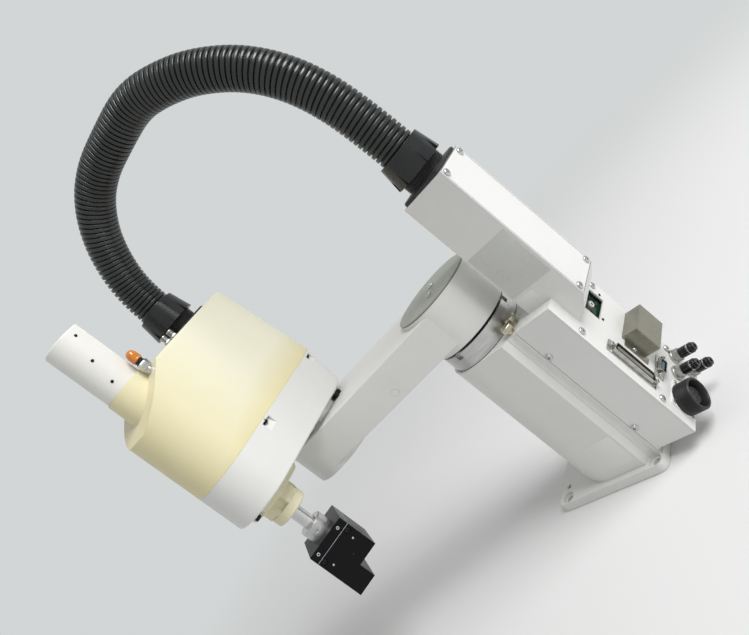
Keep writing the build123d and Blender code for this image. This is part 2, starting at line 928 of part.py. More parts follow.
with BuildPart() as hub_cap_screws:
    with BuildSketch(arm1_level(hub_top)):
        with GridLocations(1, hub_cap_screw_spacing, 1, 2):
            Circle(screw_head_radius)
    extrude(amount=screw_head_height)
    with BuildSketch(arm1_level(hub_top)):
        with GridLocations(1, hub_cap_screw_spacing, 1, 2):
            Circle(screw_shank_radius)
    extrude(amount=-hub_cap_thickness - 5)
hub_cap_screws.part.label = "hub_cap_screws"
export_step(hub_cap_screws.part, "parts/hub_cap_screws.step")

with BuildPart() as arm1_bottom_cover:
    with BuildSketch(arm1_level(link_bottom)):
        with Locations(((hollow_near + hollow_far) / 2, 0)):
            Rectangle(hollow_far - hollow_near - slip_gap, 2 * hollow_half_width - slip_gap)
    extrude(amount=link_cover_thickness)
arm1_bottom_cover.part.label = "arm1_bottom_cover"
export_step(arm1_bottom_cover.part, "parts/arm1_bottom_cover.step")

with BuildPart() as joint2_ring:
    with BuildSketch(elbow_level(ring2_bottom)):
        Circle(ring2_radius)
        Circle(ring2_bore, mode=Mode.SUBTRACT)
    extrude(amount=ring2_height)
    for heading in (90, 140):
        with BuildSketch(turned(elbow_x, elbow_y, ring2_bottom + ring2_height, heading)):
            with Locations((ring2_radius, 0)):
                Rectangle(8, ring_notch_width)
        extrude(amount=-ring2_height + 2, mode=Mode.SUBTRACT)
joint2_ring.part.label = "joint2_ring"
export_step(joint2_ring.part, "parts/joint2_ring.step")

with BuildPart() as joint2_circular_spline:
    with BuildSketch(elbow_level(elbow_bore_bottom)):
        Circle(spline_seat_radius - 0.02)
        Circle(spline_ring_bore, mode=Mode.SUBTRACT)
    extrude(amount=spline_ring_height)
joint2_circular_spline.part.label = "joint2_circular_spline"
export_step(joint2_circular_spline.part, "parts/joint2_circular_spline.step")

with BuildPart() as joint2_stop_screws:
    with BuildSketch(arm1_level(link_top)):
        for side in stop_screw_sides:
            with Locations((arm1_length - stop_screw_back, side)):
                Circle(stop_screw_radius)
    extrude(amount=stop_screw_height)
joint2_stop_screws.part.label = "joint2_stop_screws"
export_step(joint2_stop_screws.part, "parts/joint2_stop_screws.step")

# Joint 2

output2_bottom = link_top + 1.5
with BuildPart() as joint2_output:
    add(
        output_cup(
            elbow_level(arm2_bottom),
            ring2_bore - running_gap,
            arm2_bottom - output2_bottom,
            output2_bottom - elbow_bore_bottom - cup_lift,
        )
    )
joint2_output.part.label = "joint2_output"
export_step(joint2_output.part, "parts/joint2_output.step")

arm2_inside = arm2_bottom + arm2_floor
with BuildPart() as joint2_motor:
    with BuildSketch(elbow_level(arm2_inside)):
        Circle(elbow_motor_radius)
        Circle(generator_shaft_radius + running_gap, mode=Mode.SUBTRACT)
    extrude(amount=motor_bore_depth)
    with BuildSketch(elbow_level(arm2_inside + motor_bore_depth)):
        Circle(elbow_motor_radius)
    extrude(amount=elbow_motor_length - motor_bore_depth)
joint2_motor.part.label = "joint2_motor"
export_step(joint2_motor.part, "parts/joint2_motor.step")

generator2_bottom = elbow_bore_bottom + generator_lift
generator2_top = generator2_bottom + generator_height
with BuildPart() as joint2_wave_generator:
    add(
        wave_generator(
            elbow_level(generator2_bottom), arm2_inside + motor_shaft_grip - generator2_top, 0
        )
    )
joint2_wave_generator.part.label = "joint2_wave_generator"
export_step(joint2_wave_generator.part, "parts/joint2_wave_generator.step")

# Arm 2

with BuildPart() as casting_hollow:
    with BuildSketch(elbow_level(arm2_inside)):
        add(lobe(butt_bottom_radius - arm2_wall, tip_radius - arm2_wall, arm2_length))
    with BuildSketch(elbow_level(arm2_seam)):
        add(lobe(butt_seam_radius - arm2_wall, tip_radius - arm2_wall, arm2_length))
    loft()

seam_lean = math.asin((butt_seam_radius - tip_radius) / arm2_length)
seam_lean_degrees = math.degrees(seam_lean)


def flank_point(station):
    """Half width of the casting at the seam, and the flank's outward heading there."""
    if station > butt_seam_radius * math.sin(seam_lean):
        half = butt_seam_radius / math.cos(seam_lean) - station * math.tan(seam_lean)
        return half, 90 - seam_lean_degrees
    half = math.sqrt(butt_seam_radius**2 - station**2)
    return half, math.degrees(math.atan2(half, station))


with BuildPart() as arm2_casting:
    with BuildSketch(elbow_level(arm2_bottom)):
        add(lobe(butt_bottom_radius, tip_radius, arm2_length))
    with BuildSketch(elbow_level(arm2_seam)):
        add(lobe(butt_seam_radius, tip_radius, arm2_length))
    loft()
    fillet(arm2_casting.faces().sort_by(Axis.Z)[0].edges(), 2)
    add(casting_hollow.part, mode=Mode.SUBTRACT)
    with BuildSketch(elbow_level(arm2_inside)):
        with Locations(*pillar_points):
            Circle(pillar_radius)
    extrude(amount=deck_z - arm2_inside)
    with BuildSketch(elbow_level(arm2_bottom)):
        Circle(cup_bore)
        with Locations((arm2_length, 0)):
            Circle(housing_radius + 0.02)
    extrude(amount=arm2_floor, mode=Mode.SUBTRACT)
    # screwdriver pockets under the cover's screws, two in each flank
    for station in pocket_stations:
        half_width, heading = flank_point(station)
        for side in (-1, 1):
            out = math.radians(arm2_heading + side * heading)
            spot = elbow_level(0).from_local_coords((station, side * half_width, 0))
            pocket = Plane(
                origin=spot,
                x_dir=(math.cos(out), math.sin(out), 0),
                z_dir=(math.sin(out), -math.cos(out), 0),
            )
            with BuildSketch(pocket):
                with BuildLine():
                    Polyline(
                        (2, arm2_seam - 3),
                        (-pocket_depth, arm2_seam - 3),
                        (2, arm2_seam - 3 - pocket_height),
                        close=True,
                    )
                make_face()
            extrude(amount=pocket_width / 2, both=True, mode=Mode.SUBTRACT)
arm2_casting.part.label = "arm2_casting"
export_step(arm2_casting.part, "parts/arm2_casting.step")


def tower_plan(radius, back):
    """Half-round towards the tip, flat sides and a flat back, on the quill's axis."""
    with BuildSketch() as plan:
        with BuildLine():
            Line((-back, radius), (0, radius))
            ThreePointArc((0, radius), (radius, 0), (0, -radius))
            Line((0, -radius), (-back, -radius))
            Line((-back, -radius), (-back, radius))
        make_face()
    return plan.sketch


def slope_cut(drop):
    """What is cut off the front of the cover, down to its sloping top."""
    side_view = Plane(
        origin=elbow_level(0).origin, x_dir=elbow_level(0).x_dir, z_dir=-elbow_level(0).y_dir
    )
    top = cover_top - drop
    with BuildPart() as cut:
        with BuildSketch(side_view):
            with BuildLine():
                Polyline(
                    (slope_start, top),
                    (slope_start + slope_run, top - slope_drop),
                    (arm2_length + 2 * tip_radius, top - slope_drop),
                    (arm2_length + 2 * tip_radius, cover_top + 50),
                    (slope_start, cover_top + 50),
                    close=True,
                )
            make_face()
        extrude(amount=2 * butt_seam_radius, both=True)
    return cut.part


with BuildPart() as cover_hollow:
    with BuildSketch(elbow_level(arm2_seam)):
        add(lobe(butt_seam_radius - cover_wall, tip_radius - cover_wall, arm2_length))
    with BuildSketch(elbow_level(cover_top - cover_wall)):
        add(lobe(butt_top_radius - cover_wall, tip_radius - cover_wall, arm2_length))
    loft()
    add(slope_cut(cover_wall), mode=Mode.SUBTRACT)

with BuildPart() as arm2_cover:
    with BuildSketch(elbow_level(arm2_seam)):
        add(lobe(butt_seam_radius, tip_radius, arm2_length))
    with BuildSketch(elbow_level(cover_top)):
        add(lobe(butt_top_radius, tip_radius, arm2_length))
    loft()
    add(slope_cut(0), mode=Mode.SUBTRACT)
    fillet(
        arm2_cover.edges().filter_by(lambda e: e.center().Z > arm2_seam + 5)
        .filter_by(Plane.XY),
        2.5,
    )
    with BuildSketch(quill_level(cover_top - slope_drop - 10)):
        add(tower_plan(tower_radius + socket_lip, tower_back + socket_lip))
    extrude(amount=tower_seam - cover_top + slope_drop + 10)
    add(cover_hollow.part, mode=Mode.SUBTRACT)
    with BuildSketch(quill_level(cover_top - slope_drop - 15)):
        add(tower_plan(tower_radius - tower_wall, tower_back - tower_wall))
    extrude(amount=tower_top, mode=Mode.SUBTRACT)
    with BuildSketch(elbow_level(cover_top + 1)):
        with Locations((arm2_gland_station, arm2_gland_side)):
            Circle(gland_bore)
    extrude(amount=-2 * cover_wall, mode=Mode.SUBTRACT)
arm2_cover.part.label = "arm2_cover"
export_step(arm2_cover.part, "parts/arm2_cover.step")

with BuildPart() as tower_cover:
    with BuildSketch(quill_level(tower_seam)):
        add(tower_plan(tower_radius, tower_back))
    extrude(amount=tower_top - tower_seam)
    fillet(tower_cover.faces().sort_by(Axis.Z)[-1].edges(), 2)
    with BuildSketch(quill_level(tower_seam)):
        add(tower_plan(tower_radius - tower_wall, tower_back - tower_wall))
    extrude(amount=tower_top - tower_seam - tower_wall, mode=Mode.SUBTRACT)
tower_cover.part.label = "tower_cover"
export_step(tower_cover.part, "parts/tower_cover.step")

arm2_gland_base = elbow_level(cover_top)
arm2_gland_base = Plane(
    origin=arm2_gland_base.from_local_coords((arm2_gland_station, arm2_gland_side, 0)),
    x_dir=arm2_gland_base.x_dir,
    z_dir=(0, 0, 1),
)
with BuildPart() as arm2_gland:
    add(gland_body(arm2_gland_base))
arm2_gland.part.label = "arm2_gland"
export_step(arm2_gland.part, "parts/arm2_gland.step")

with BuildPart() as arm2_gland_nut:
    add(gland_nut(arm2_gland_base))
arm2_gland_nut.part.label = "arm2_gland_nut"
export_step(arm2_gland_nut.part, "parts/arm2_gland_nut.step")

with BuildPart() as arm2_fittings:
    with BuildSketch(elbow_level(cover_top)):
        with Locations(*fitting_stations):
            RegularPolygon(fitting_hex_radius, 6)
    extrude(amount=5)
    with BuildSketch(elbow_level(cover_top)):
        with Locations(*fitting_stations):
            Circle(3.8)
            Circle(1.5, mode=Mode.SUBTRACT)
    extrude(amount=12)
arm2_fittings.part.label = "arm2_fittings"
export_step(arm2_fittings.part, "parts/arm2_fittings.step")

# The lamp stands upright on the slope, beside the tower.
lamp_seat = cover_top - (lamp_station - slope_start) * slope_drop / slope_run
lamp_hex_bottom = lamp_seat + lamp_foot_height
lamp_top = lamp_hex_bottom + lamp_hex_height + lamp_neck_height
slope_plane = Plane(
    origin=elbow_level(lamp_seat).from_local_coords((lamp_station, 0, 0)),
    x_dir=elbow_level(0).y_dir,
    z_dir=elbow_level(0).x_dir * slope_drop + Vector(0, 0, slope_run),
)
with BuildPart() as lamp_post:
    with BuildSketch(elbow_level(lamp_seat - lamp_radius)):
        with Locations((lamp_station, lamp_side)):
            Circle(lamp_foot_radius)
    extrude(amount=lamp_radius + lamp_foot_height)
    split(bisect_by=slope_plane, keep=Keep.TOP)
    with BuildSketch(elbow_level(lamp_hex_bottom)):
        with Locations((lamp_station, lamp_side)):
            RegularPolygon(lamp_hex_radius, 6)
    extrude(amount=lamp_hex_height)
    with BuildSketch(elbow_level(lamp_hex_bottom)):
        with Locations((lamp_station, lamp_side)):
            Circle(lamp_neck_radius)
    extrude(amount=lamp_hex_height + lamp_neck_height)
lamp_post.part.label = "lamp_post"
export_step(lamp_post.part, "parts/lamp_post.step")

with BuildPart() as lamp_lens:
    with BuildSketch(elbow_level(lamp_top)):
        with Locations((lamp_station, lamp_side)):
            Circle(lamp_radius)
    extrude(amount=lamp_height)
    fillet(lamp_lens.faces().sort_by(Axis.Z)[-1].edges(), lamp_radius - 0.5)
lamp_lens.part.label = "lamp_lens"
export_step(lamp_lens.part, "parts/lamp_lens.step")

with BuildPart() as shaft_plate:
    with BuildSketch(quill_level(arm2_bottom)) as plate_plan:
        with Locations((-plate_stretch / 2, 0)):
            Rectangle(2 * plate_radius + plate_stretch, 2 * plate_radius)
        chamfer(plate_plan.vertices(), plate_corner)
        Circle(boss_radius, mode=Mode.SUBTRACT)
    extrude(amount=-plate_thickness)
    fillet(shaft_plate.faces().sort_by(Axis.Z)[0].outer_wire().edges(), 1.5)
shaft_plate.part.label = "shaft_plate"
export_step(shaft_plate.part, "parts/shaft_plate.step")

# Moulded guard round the shaft: a neck with four lugs and a plain ring below it
boss_top = arm2_bottom - plate_thickness
with BuildPart() as shaft_boss:
    with BuildSketch(quill_level(boss_top)):
        Circle(boss_radius)
        with PolarLocations(boss_radius, 4):
            Rectangle(2 * boss_lug_depth, boss_lug_width)
    extrude(amount=-boss_height)
    with BuildSketch(quill_level(boss_top - boss_height)):
        Circle(boss_ring_radius)
    extrude(amount=-boss_ring_height)
    fillet(shaft_boss.faces().sort_by(Axis.Z)[0].edges(), 2)
    with BuildSketch(quill_level(boss_top)):
        Circle(boss_bore)
    extrude(amount=-boss_height - boss_ring_height, mode=Mode.SUBTRACT)
shaft_boss.part.label = "shaft_boss"
export_step(shaft_boss.part, "parts/shaft_boss.step")

# Drives of joints 3 and 4

with BuildPart() as spline_housing:
    with BuildSketch(quill_level(arm2_bottom)):
        Circle(housing_radius)
    extrude(amount=housing_top - arm2_bottom)
    with BuildSketch(quill_level(arm2_inside)):
        Circle(housing_flange_radius)
    extrude(amount=housing_flange_thickness)
    with BuildSketch(quill_level(arm2_bottom)):
        Circle(nut_radius + running_gap)
    extrude(amount=housing_top - arm2_bottom, mode=Mode.SUBTRACT)
spline_housing.part.label = "spline_housing"
export_step(spline_housing.part, "parts/spline_housing.step")

deck_top = deck_z + deck_plate
screw_pulley_bottom = deck_top + deck_boss_height + 2
motor3_top = arm2_inside + drive_motor_length
with BuildPart() as motor_deck:
    with BuildSketch(elbow_level(deck_z)):
        add(lobe(butt_seam_radius - deck_margin, tip_radius - deck_margin, arm2_length))
        Circle(elbow_motor_radius + 2, mode=Mode.SUBTRACT)
        with Locations((drive_station, -drive_side)):
            Circle(drive_motor_radius + 1.5, mode=Mode.SUBTRACT)
        with Locations((drive_station, drive_side)):
            Circle(drive_shaft_radius + 2, mode=Mode.SUBTRACT)
    extrude(amount=deck_plate)
    with BuildSketch(quill_level(deck_z)):
        Circle(housing_radius)
    extrude(amount=deck_plate + deck_boss_height)
    with BuildSketch(quill_level(deck_z)):
        Circle(nut_radius + running_gap)
    extrude(amount=deck_plate + deck_boss_height, mode=Mode.SUBTRACT)
motor_deck.part.label = "motor_deck"
export_step(motor_deck.part, "parts/motor_deck.step")

with BuildPart() as joint3_motor:
    with BuildSketch(elbow_level(arm2_inside)):
        with Locations((drive_station, -drive_side)):
            Circle(drive_motor_radius)
    extrude(amount=drive_motor_length)
    with BuildSketch(elbow_level(motor3_top)):
        with Locations((drive_station, -drive_side)):
            Circle(drive_shaft_radius + running_gap)
    extrude(amount=-motor_shaft_grip, mode=Mode.SUBTRACT)
joint3_motor.part.label = "joint3_motor"
export_step(joint3_motor.part, "parts/joint3_motor.step")

with BuildPart() as joint4_motor:
    with BuildSketch(elbow_level(deck_top)):
        with Locations((drive_station, drive_side)):
            Circle(drive_motor_radius)
    extrude(amount=drive_motor_length)
    with BuildSketch(elbow_level(deck_top)):
        with Locations((drive_station, drive_side)):
            Circle(drive_shaft_radius + running_gap)
    extrude(amount=motor_shaft_grip, mode=Mode.SUBTRACT)
joint4_motor.part.label = "joint4_motor"
export_step(joint4_motor.part, "parts/joint4_motor.step")

spline_pulley_bottom = housing_top + 3
with BuildPart() as joint3_pulley:
    with BuildSketch(elbow_level(screw_pulley_bottom)):
        with Locations((drive_station, -drive_side)):
            Circle(drive_pulley_radius)
    extrude(amount=pulley_width)
    with BuildSketch(elbow_level(screw_pulley_bottom)):
        with Locations((drive_station, -drive_side)):
            Circle(drive_shaft_radius)
    extrude(amount=motor3_top - motor_shaft_grip + 2 - screw_pulley_bottom)
joint3_pulley.part.label = "joint3_pulley"
export_step(joint3_pulley.part, "parts/joint3_pulley.step")

with BuildPart() as joint4_pulley:
    with BuildSketch(elbow_level(spline_pulley_bottom)):
        with Locations((drive_station, drive_side)):
            Circle(drive_pulley_radius)
    extrude(amount=pulley_width)
    with BuildSketch(elbow_level(spline_pulley_bottom)):
        with Locations((drive_station, drive_side)):
            Circle(drive_shaft_radius)
    extrude(amount=deck_top + motor_shaft_grip - 2 - spline_pulley_bottom)
joint4_pulley.part.label = "joint4_pulley"
export_step(joint4_pulley.part, "parts/joint4_pulley.step")


def belt(side, z):
    """Belt from a motor pulley at the given side to the pulley on the quill."""
    reach = math.hypot(arm2_length - drive_station, drive_side)
    swing = math.degrees(math.atan2(-side * drive_side, arm2_length - drive_station))
    start = elbow_level(z).from_local_coords((drive_station, side * drive_side, 0))
    with BuildPart() as loop:
        with BuildSketch(turned(start.X, start.Y, z, arm2_heading + swing)):
            near = drive_pulley_radius + belt_gap
            far = quill_pulley_radius + belt_gap
            add(lobe(near + belt_thickness, far + belt_thickness, reach))
            add(lobe(near, far, reach), mode=Mode.SUBTRACT)
        extrude(amount=belt_width)
    return loop.part


with BuildPart() as joint3_belt:
    add(belt(-1, screw_pulley_bottom + (pulley_width - belt_width) / 2))
joint3_belt.part.label = "joint3_belt"
export_step(joint3_belt.part, "parts/joint3_belt.step")

with BuildPart() as joint4_belt:
    add(belt(1, spline_pulley_bottom + (pulley_width - belt_width) / 2))
joint4_belt.part.label = "joint4_belt"
export_step(joint4_belt.part, "parts/joint4_belt.step")


def quill_nut(bottom, pulley_bottom):
    """Nut round the shaft with its pulley on top."""
    with BuildPart() as nut:
        with BuildSketch(quill_level(bottom)):
            Circle(nut_radius)
        extrude(amount=pulley_bottom - bottom)
        with BuildSketch(quill_level(pulley_bottom)):
            Circle(quill_pulley_radius)
        extrude(amount=pulley_width)
        with BuildSketch(quill_level(bottom)):
            Circle(shaft_radius + running_gap)
        extrude(amount=pulley_bottom - bottom + pulley_width, mode=Mode.SUBTRACT)
    return nut.part


with BuildPart() as spline_nut:
    add(quill_nut(spline_nut_bottom, spline_pulley_bottom))
spline_nut.part.label = "spline_nut"
export_step(spline_nut.part, "parts/spline_nut.step")

with BuildPart() as screw_nut:
    add(quill_nut(deck_z + 2, screw_pulley_bottom))
screw_nut.part.label = "screw_nut"
export_step(screw_nut.part, "parts/screw_nut.step")

# Quill and tool

shaft_bottom = block_top - shaft_grip
with BuildPart() as shaft:
    with BuildSketch(quill_level(shaft_bottom)):
        Circle(shaft_radius)
        Circle(shaft_bore, mode=Mode.SUBTRACT)
    extrude(amount=shaft_top - shaft_bottom)
    with BuildSketch(quill_level(collar_top + 4)):
        with PolarLocations(shaft_radius + 0.4, 3):
            Circle(shaft_groove_radius)
    extrude(amount=shaft_top, mode=Mode.SUBTRACT)
shaft.part.label = "shaft"
export_step(shaft.part, "parts/shaft.step")

block_front = block_yaw + 90
with BuildPart() as shaft_collar:
    with BuildSketch(quill_level(block_top)):
        Circle(collar_radius)
        Circle(shaft_radius + 0.02, mode=Mode.SUBTRACT)
    extrude(amount=collar_top - block_top)
    chamfer(shaft_collar.faces().sort_by(Axis.Z)[-1].outer_wire().edges(), 1)
    toward_front = (
        math.cos(math.radians(block_front)),
        math.sin(math.radians(block_front)),
        0,
    )
    screw_axis = Plane(
        origin=(quill_x, quill_y, (block_top + collar_top) / 2), z_dir=toward_front
    )
    with BuildSketch(screw_axis.offset(shaft_radius - 0.5)):
        Circle(collar_screw_radius + 0.02)
    extrude(amount=collar_radius, mode=Mode.SUBTRACT)
shaft_collar.part.label = "shaft_collar"
export_step(shaft_collar.part, "parts/shaft_collar.step")

with BuildPart() as collar_screw:
    with BuildSketch(screw_axis.offset(shaft_radius)):
        Circle(collar_screw_radius)
    extrude(amount=collar_radius - shaft_radius - 0.8)
    with BuildSketch(screw_axis.offset(collar_radius - 0.8)):
        RegularPolygon(1.3, 6)
    extrude(amount=-2.5, mode=Mode.SUBTRACT)
collar_screw.part.label = "collar_screw"
export_step(collar_screw.part, "parts/collar_screw.step")

plate_bottom = block_top - block_plate_thickness
leg_x = (block_width - block_leg_width) / 2
with BuildPart() as tool_plate:
    with BuildSketch(turned(quill_x, quill_y, block_top, block_yaw)):
        Rectangle(block_width, block_depth)
        Circle(shaft_radius + 0.02, mode=Mode.SUBTRACT)
    extrude(amount=-block_plate_thickness)
    chamfer(tool_plate.faces().sort_by(Axis.Z)[-1].outer_wire().edges(), 0.6)
tool_plate.part.label = "tool_plate"
export_step(tool_plate.part, "parts/tool_plate.step")

with BuildPart() as tool_block:
    with BuildSketch(turned(quill_x, quill_y, plate_bottom, block_yaw)):
        Rectangle(block_width, block_depth)
    extrude(amount=-block_height)
    with BuildSketch(turned(quill_x, quill_y, plate_bottom, block_yaw)):
        with Locations((leg_x, 0)):
            Rectangle(block_leg_width, block_depth)
    extrude(amount=-block_height - block_leg_height)
    leg_bottom = plate_bottom - block_height - block_leg_height
    with BuildSketch(turned(quill_x, quill_y, leg_bottom, block_yaw)):
        with Locations((leg_x, -tap_spacing / 2), (leg_x, tap_spacing / 2)):
            Circle(tap_radius)
    extrude(amount=tap_depth, mode=Mode.SUBTRACT)
    # counterbores and pin holes in the front
    front = Plane(
        origin=turned(quill_x, quill_y, plate_bottom, block_yaw).from_local_coords(
            (0, block_depth / 2, 0)
        ),
        x_dir=turned(0, 0, 0, block_yaw).x_dir,
        z_dir=toward_front,
    )
    with BuildSketch(front):
        with Locations((0, block_bore_drop)):
            with GridLocations(block_bore_spacing, 1, 2, 1):
                Circle(block_bore_radius)
    extrude(amount=-block_bore_depth, mode=Mode.SUBTRACT)
    with BuildSketch(front):
        with Locations((0, block_pin_drop)):
            with GridLocations(block_pin_spacing, 1, 2, 1):
                Circle(block_pin_radius)
    extrude(amount=-block_bore_depth, mode=Mode.SUBTRACT)
tool_block.part.label = "tool_block"
export_step(tool_block.part, "parts/tool_block.step")

# Conduit
# The route lies in the upright plane through both glands: distance from the duct's gland,
# then height. It is split where it runs level at the top of the arch.
hose_start = duct_top + gland_seat
hose_end = cover_top + gland_seat
span_x = arm2_gland_base.origin.X + duct_mid_x
span_y = arm2_gland_base.origin.Y
span = math.hypot(span_x, span_y)
base_route = (
    (0, hose_start),
    (0, 462),
    (8.4, 521.4),
    (30.7, 571.6),
    (67.5, 612.5),
    (106, 637.5),
    (140, 650.9),
    (163, 650.9),
)
arm_route = (
    (163, 650.9),
    (190, 650.9),
    (span - 103.7, 649),
    (span - 68.1, 637.2),
    (span - 35, 611.3),
    (span - 12.1, 576.1),
    (span, 536.5),
    (span, hose_end),
)


def route_point(reach, height):
    return (-duct_mid_x + span_x * reach / span, span_y * reach / span, height)


def hose(route):
    points = [Vector(*route_point(*p)) for p in route]
    radii = []
    for before, here, after in zip(points, points[1:], points[2:]):
        turn = (here - before).get_angle(after - here)
        shorter = min((here - before).length, (after - here).length)
        radii.append(0.45 * shorter / math.tan(math.radians(turn / 2)))
    print("hose radii", [round(r) for r in radii])
    with BuildPart() as tube:
        with BuildLine() as path:
            FilletPolyline(*points, radius=radii)
        with BuildSketch(Plane(origin=path.line @ 0, z_dir=path.line % 0)):
            Circle(hose_radius)
        sweep()
    print("hose length", round(path.wires()[0].length, 1), "volume", round(tube.part.volume))
    return tube.part


with BuildPart() as hose_base_half:
    add(hose(base_route))
hose_base_half.part.label = "hose_base_half"
export_step(hose_base_half.part, "parts/hose_base_half.step")

with BuildPart() as hose_arm_half:
    add(hose(arm_route))
hose_arm_half.part.label = "hose_arm_half"
export_step(hose_arm_half.part, "parts/hose_arm_half.step")
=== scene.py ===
"""A four-axis robot arm on its pedestal, with its conduit in an arch over both links."""

import math

import bmesh
import bpy
from mathutils import Matrix, Vector


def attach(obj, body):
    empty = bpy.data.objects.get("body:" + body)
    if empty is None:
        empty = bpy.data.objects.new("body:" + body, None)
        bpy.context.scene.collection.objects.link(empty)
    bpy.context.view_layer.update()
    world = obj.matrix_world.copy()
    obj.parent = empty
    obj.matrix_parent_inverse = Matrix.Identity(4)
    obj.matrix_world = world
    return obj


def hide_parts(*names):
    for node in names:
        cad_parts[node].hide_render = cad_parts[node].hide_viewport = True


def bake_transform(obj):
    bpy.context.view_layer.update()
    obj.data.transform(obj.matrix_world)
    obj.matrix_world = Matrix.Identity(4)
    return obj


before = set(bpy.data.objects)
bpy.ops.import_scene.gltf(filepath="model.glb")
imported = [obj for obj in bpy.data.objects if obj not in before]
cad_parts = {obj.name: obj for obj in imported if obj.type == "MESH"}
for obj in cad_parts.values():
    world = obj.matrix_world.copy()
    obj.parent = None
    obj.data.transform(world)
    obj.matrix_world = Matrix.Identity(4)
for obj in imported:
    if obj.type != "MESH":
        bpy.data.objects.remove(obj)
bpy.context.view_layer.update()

# Sizes and places, in metres and degrees, as the solids have them
MM = 0.001
ARM1 = 225 * MM
ARM2 = 125 * MM
JOINT1_REST = 19.1
JOINT2_REST = 77.2
ARM1_HEADING = math.radians(JOINT1_REST)
ARM2_HEADING = math.radians(JOINT1_REST + JOINT2_REST)
ARM1_AHEAD = Vector((math.cos(ARM1_HEADING), math.sin(ARM1_HEADING), 0))
ARM1_LEFT = Vector((-ARM1_AHEAD.y, ARM1_AHEAD.x, 0))
ELBOW = ARM1 * ARM1_AHEAD
ARM2_AHEAD = Vector((math.cos(ARM2_HEADING), math.sin(ARM2_HEADING), 0))
ARM2_LEFT = Vector((-ARM2_AHEAD.y, ARM2_AHEAD.x, 0))
QUILL = ELBOW + ARM2 * ARM2_AHEAD
UP = Vector((0, 0, 1))
REAR = Vector((-1, 0, 0))
LEFT = Vector((0, 1, 0))
COLUMN_TOP = 212 * MM
PANEL_X = -111 * MM
BOX_HALF = 45 * MM
DUCT_MID = -108.85 * MM
DUCT_BACK = -138 * MM
DUCT_SIDE = 27.7 * MM
DUCT_TOP = 374.7 * MM
HUB_TOP = 293.3 * MM
LINK_TOP = 287.5 * MM
ARM2_BOTTOM = 296 * MM
ARM2_SEAM = 350 * MM
COVER_TOP = 477 * MM
GLAND_SEAT = 24 * MM
ARM2_GLAND_STATION = 13.5 * MM
HOSE_RADIUS = 21.25 * MM
BLOCK_YAW = math.radians(53.6)
PLATE_TOP = 222 * MM
PLATE_BOTTOM = 211 * MM
BLOCK_FRONT = 29 * MM
TOWER_RADIUS = 23.9 * MM
BOARD_X = -105.6 * MM
COLUMN_SIDE = 52 * MM
FLANK_SCREW_X = -67.4 * MM
FLANK_SEAM_X = -63.5 * MM
DUCT_SEAM_MIDDLE = 286.35 * MM
HUB_CAP_SEAM_RADIUS = 51.08
RING_SEAM_RADIUS = 49.12

# Camera, from the photograph's point of view
CAMERA_PLACE = Vector((-0.4609, 0.5589, 0.4242))
CAMERA_TARGET = Vector((0.0578, 0.0274, 0.3195))
CAMERA_ROLL = math.radians(51.57)
FRAME_WIDTH = 749
FOCAL_PIXELS = 673.0
SENSOR = 36.0


def make_camera():
    data = bpy.data.cameras.new("camera")
    data.sensor_fit = "HORIZONTAL"
    data.sensor_width = SENSOR
    data.lens = SENSOR * FOCAL_PIXELS / FRAME_WIDTH
    data.clip_start = 0.05
    data.clip_end = 30
    camera = bpy.data.objects.new("camera", data)
    bpy.context.collection.objects.link(camera)
    look = (CAMERA_TARGET - CAMERA_PLACE).to_track_quat("-Z", "Y").to_matrix()
    turn = look @ Matrix.Rotation(-CAMERA_ROLL, 3, "Z")
    camera.matrix_world = Matrix.Translation(CAMERA_PLACE) @ turn.to_4x4()
    bpy.context.scene.camera = camera


make_camera()


def on_arm2(station, side, z):
    """A point beside the elbow's axis: ahead along arm 2, to its left, and up."""
    return ELBOW + station * ARM2_AHEAD + side * ARM2_LEFT + z * UP


def facing(place, out, up=UP):
    """A frame on a face: z out of it, y upward along it."""
    across = Vector(up).cross(out).normalized()
    made = Matrix((across, Vector(out).cross(across), out)).transposed().to_4x4()
    made.translation = place
    return made


def on_panel(y, z):
    return facing(Vector((PANEL_X, y * MM, z * MM)), REAR)


# Materials


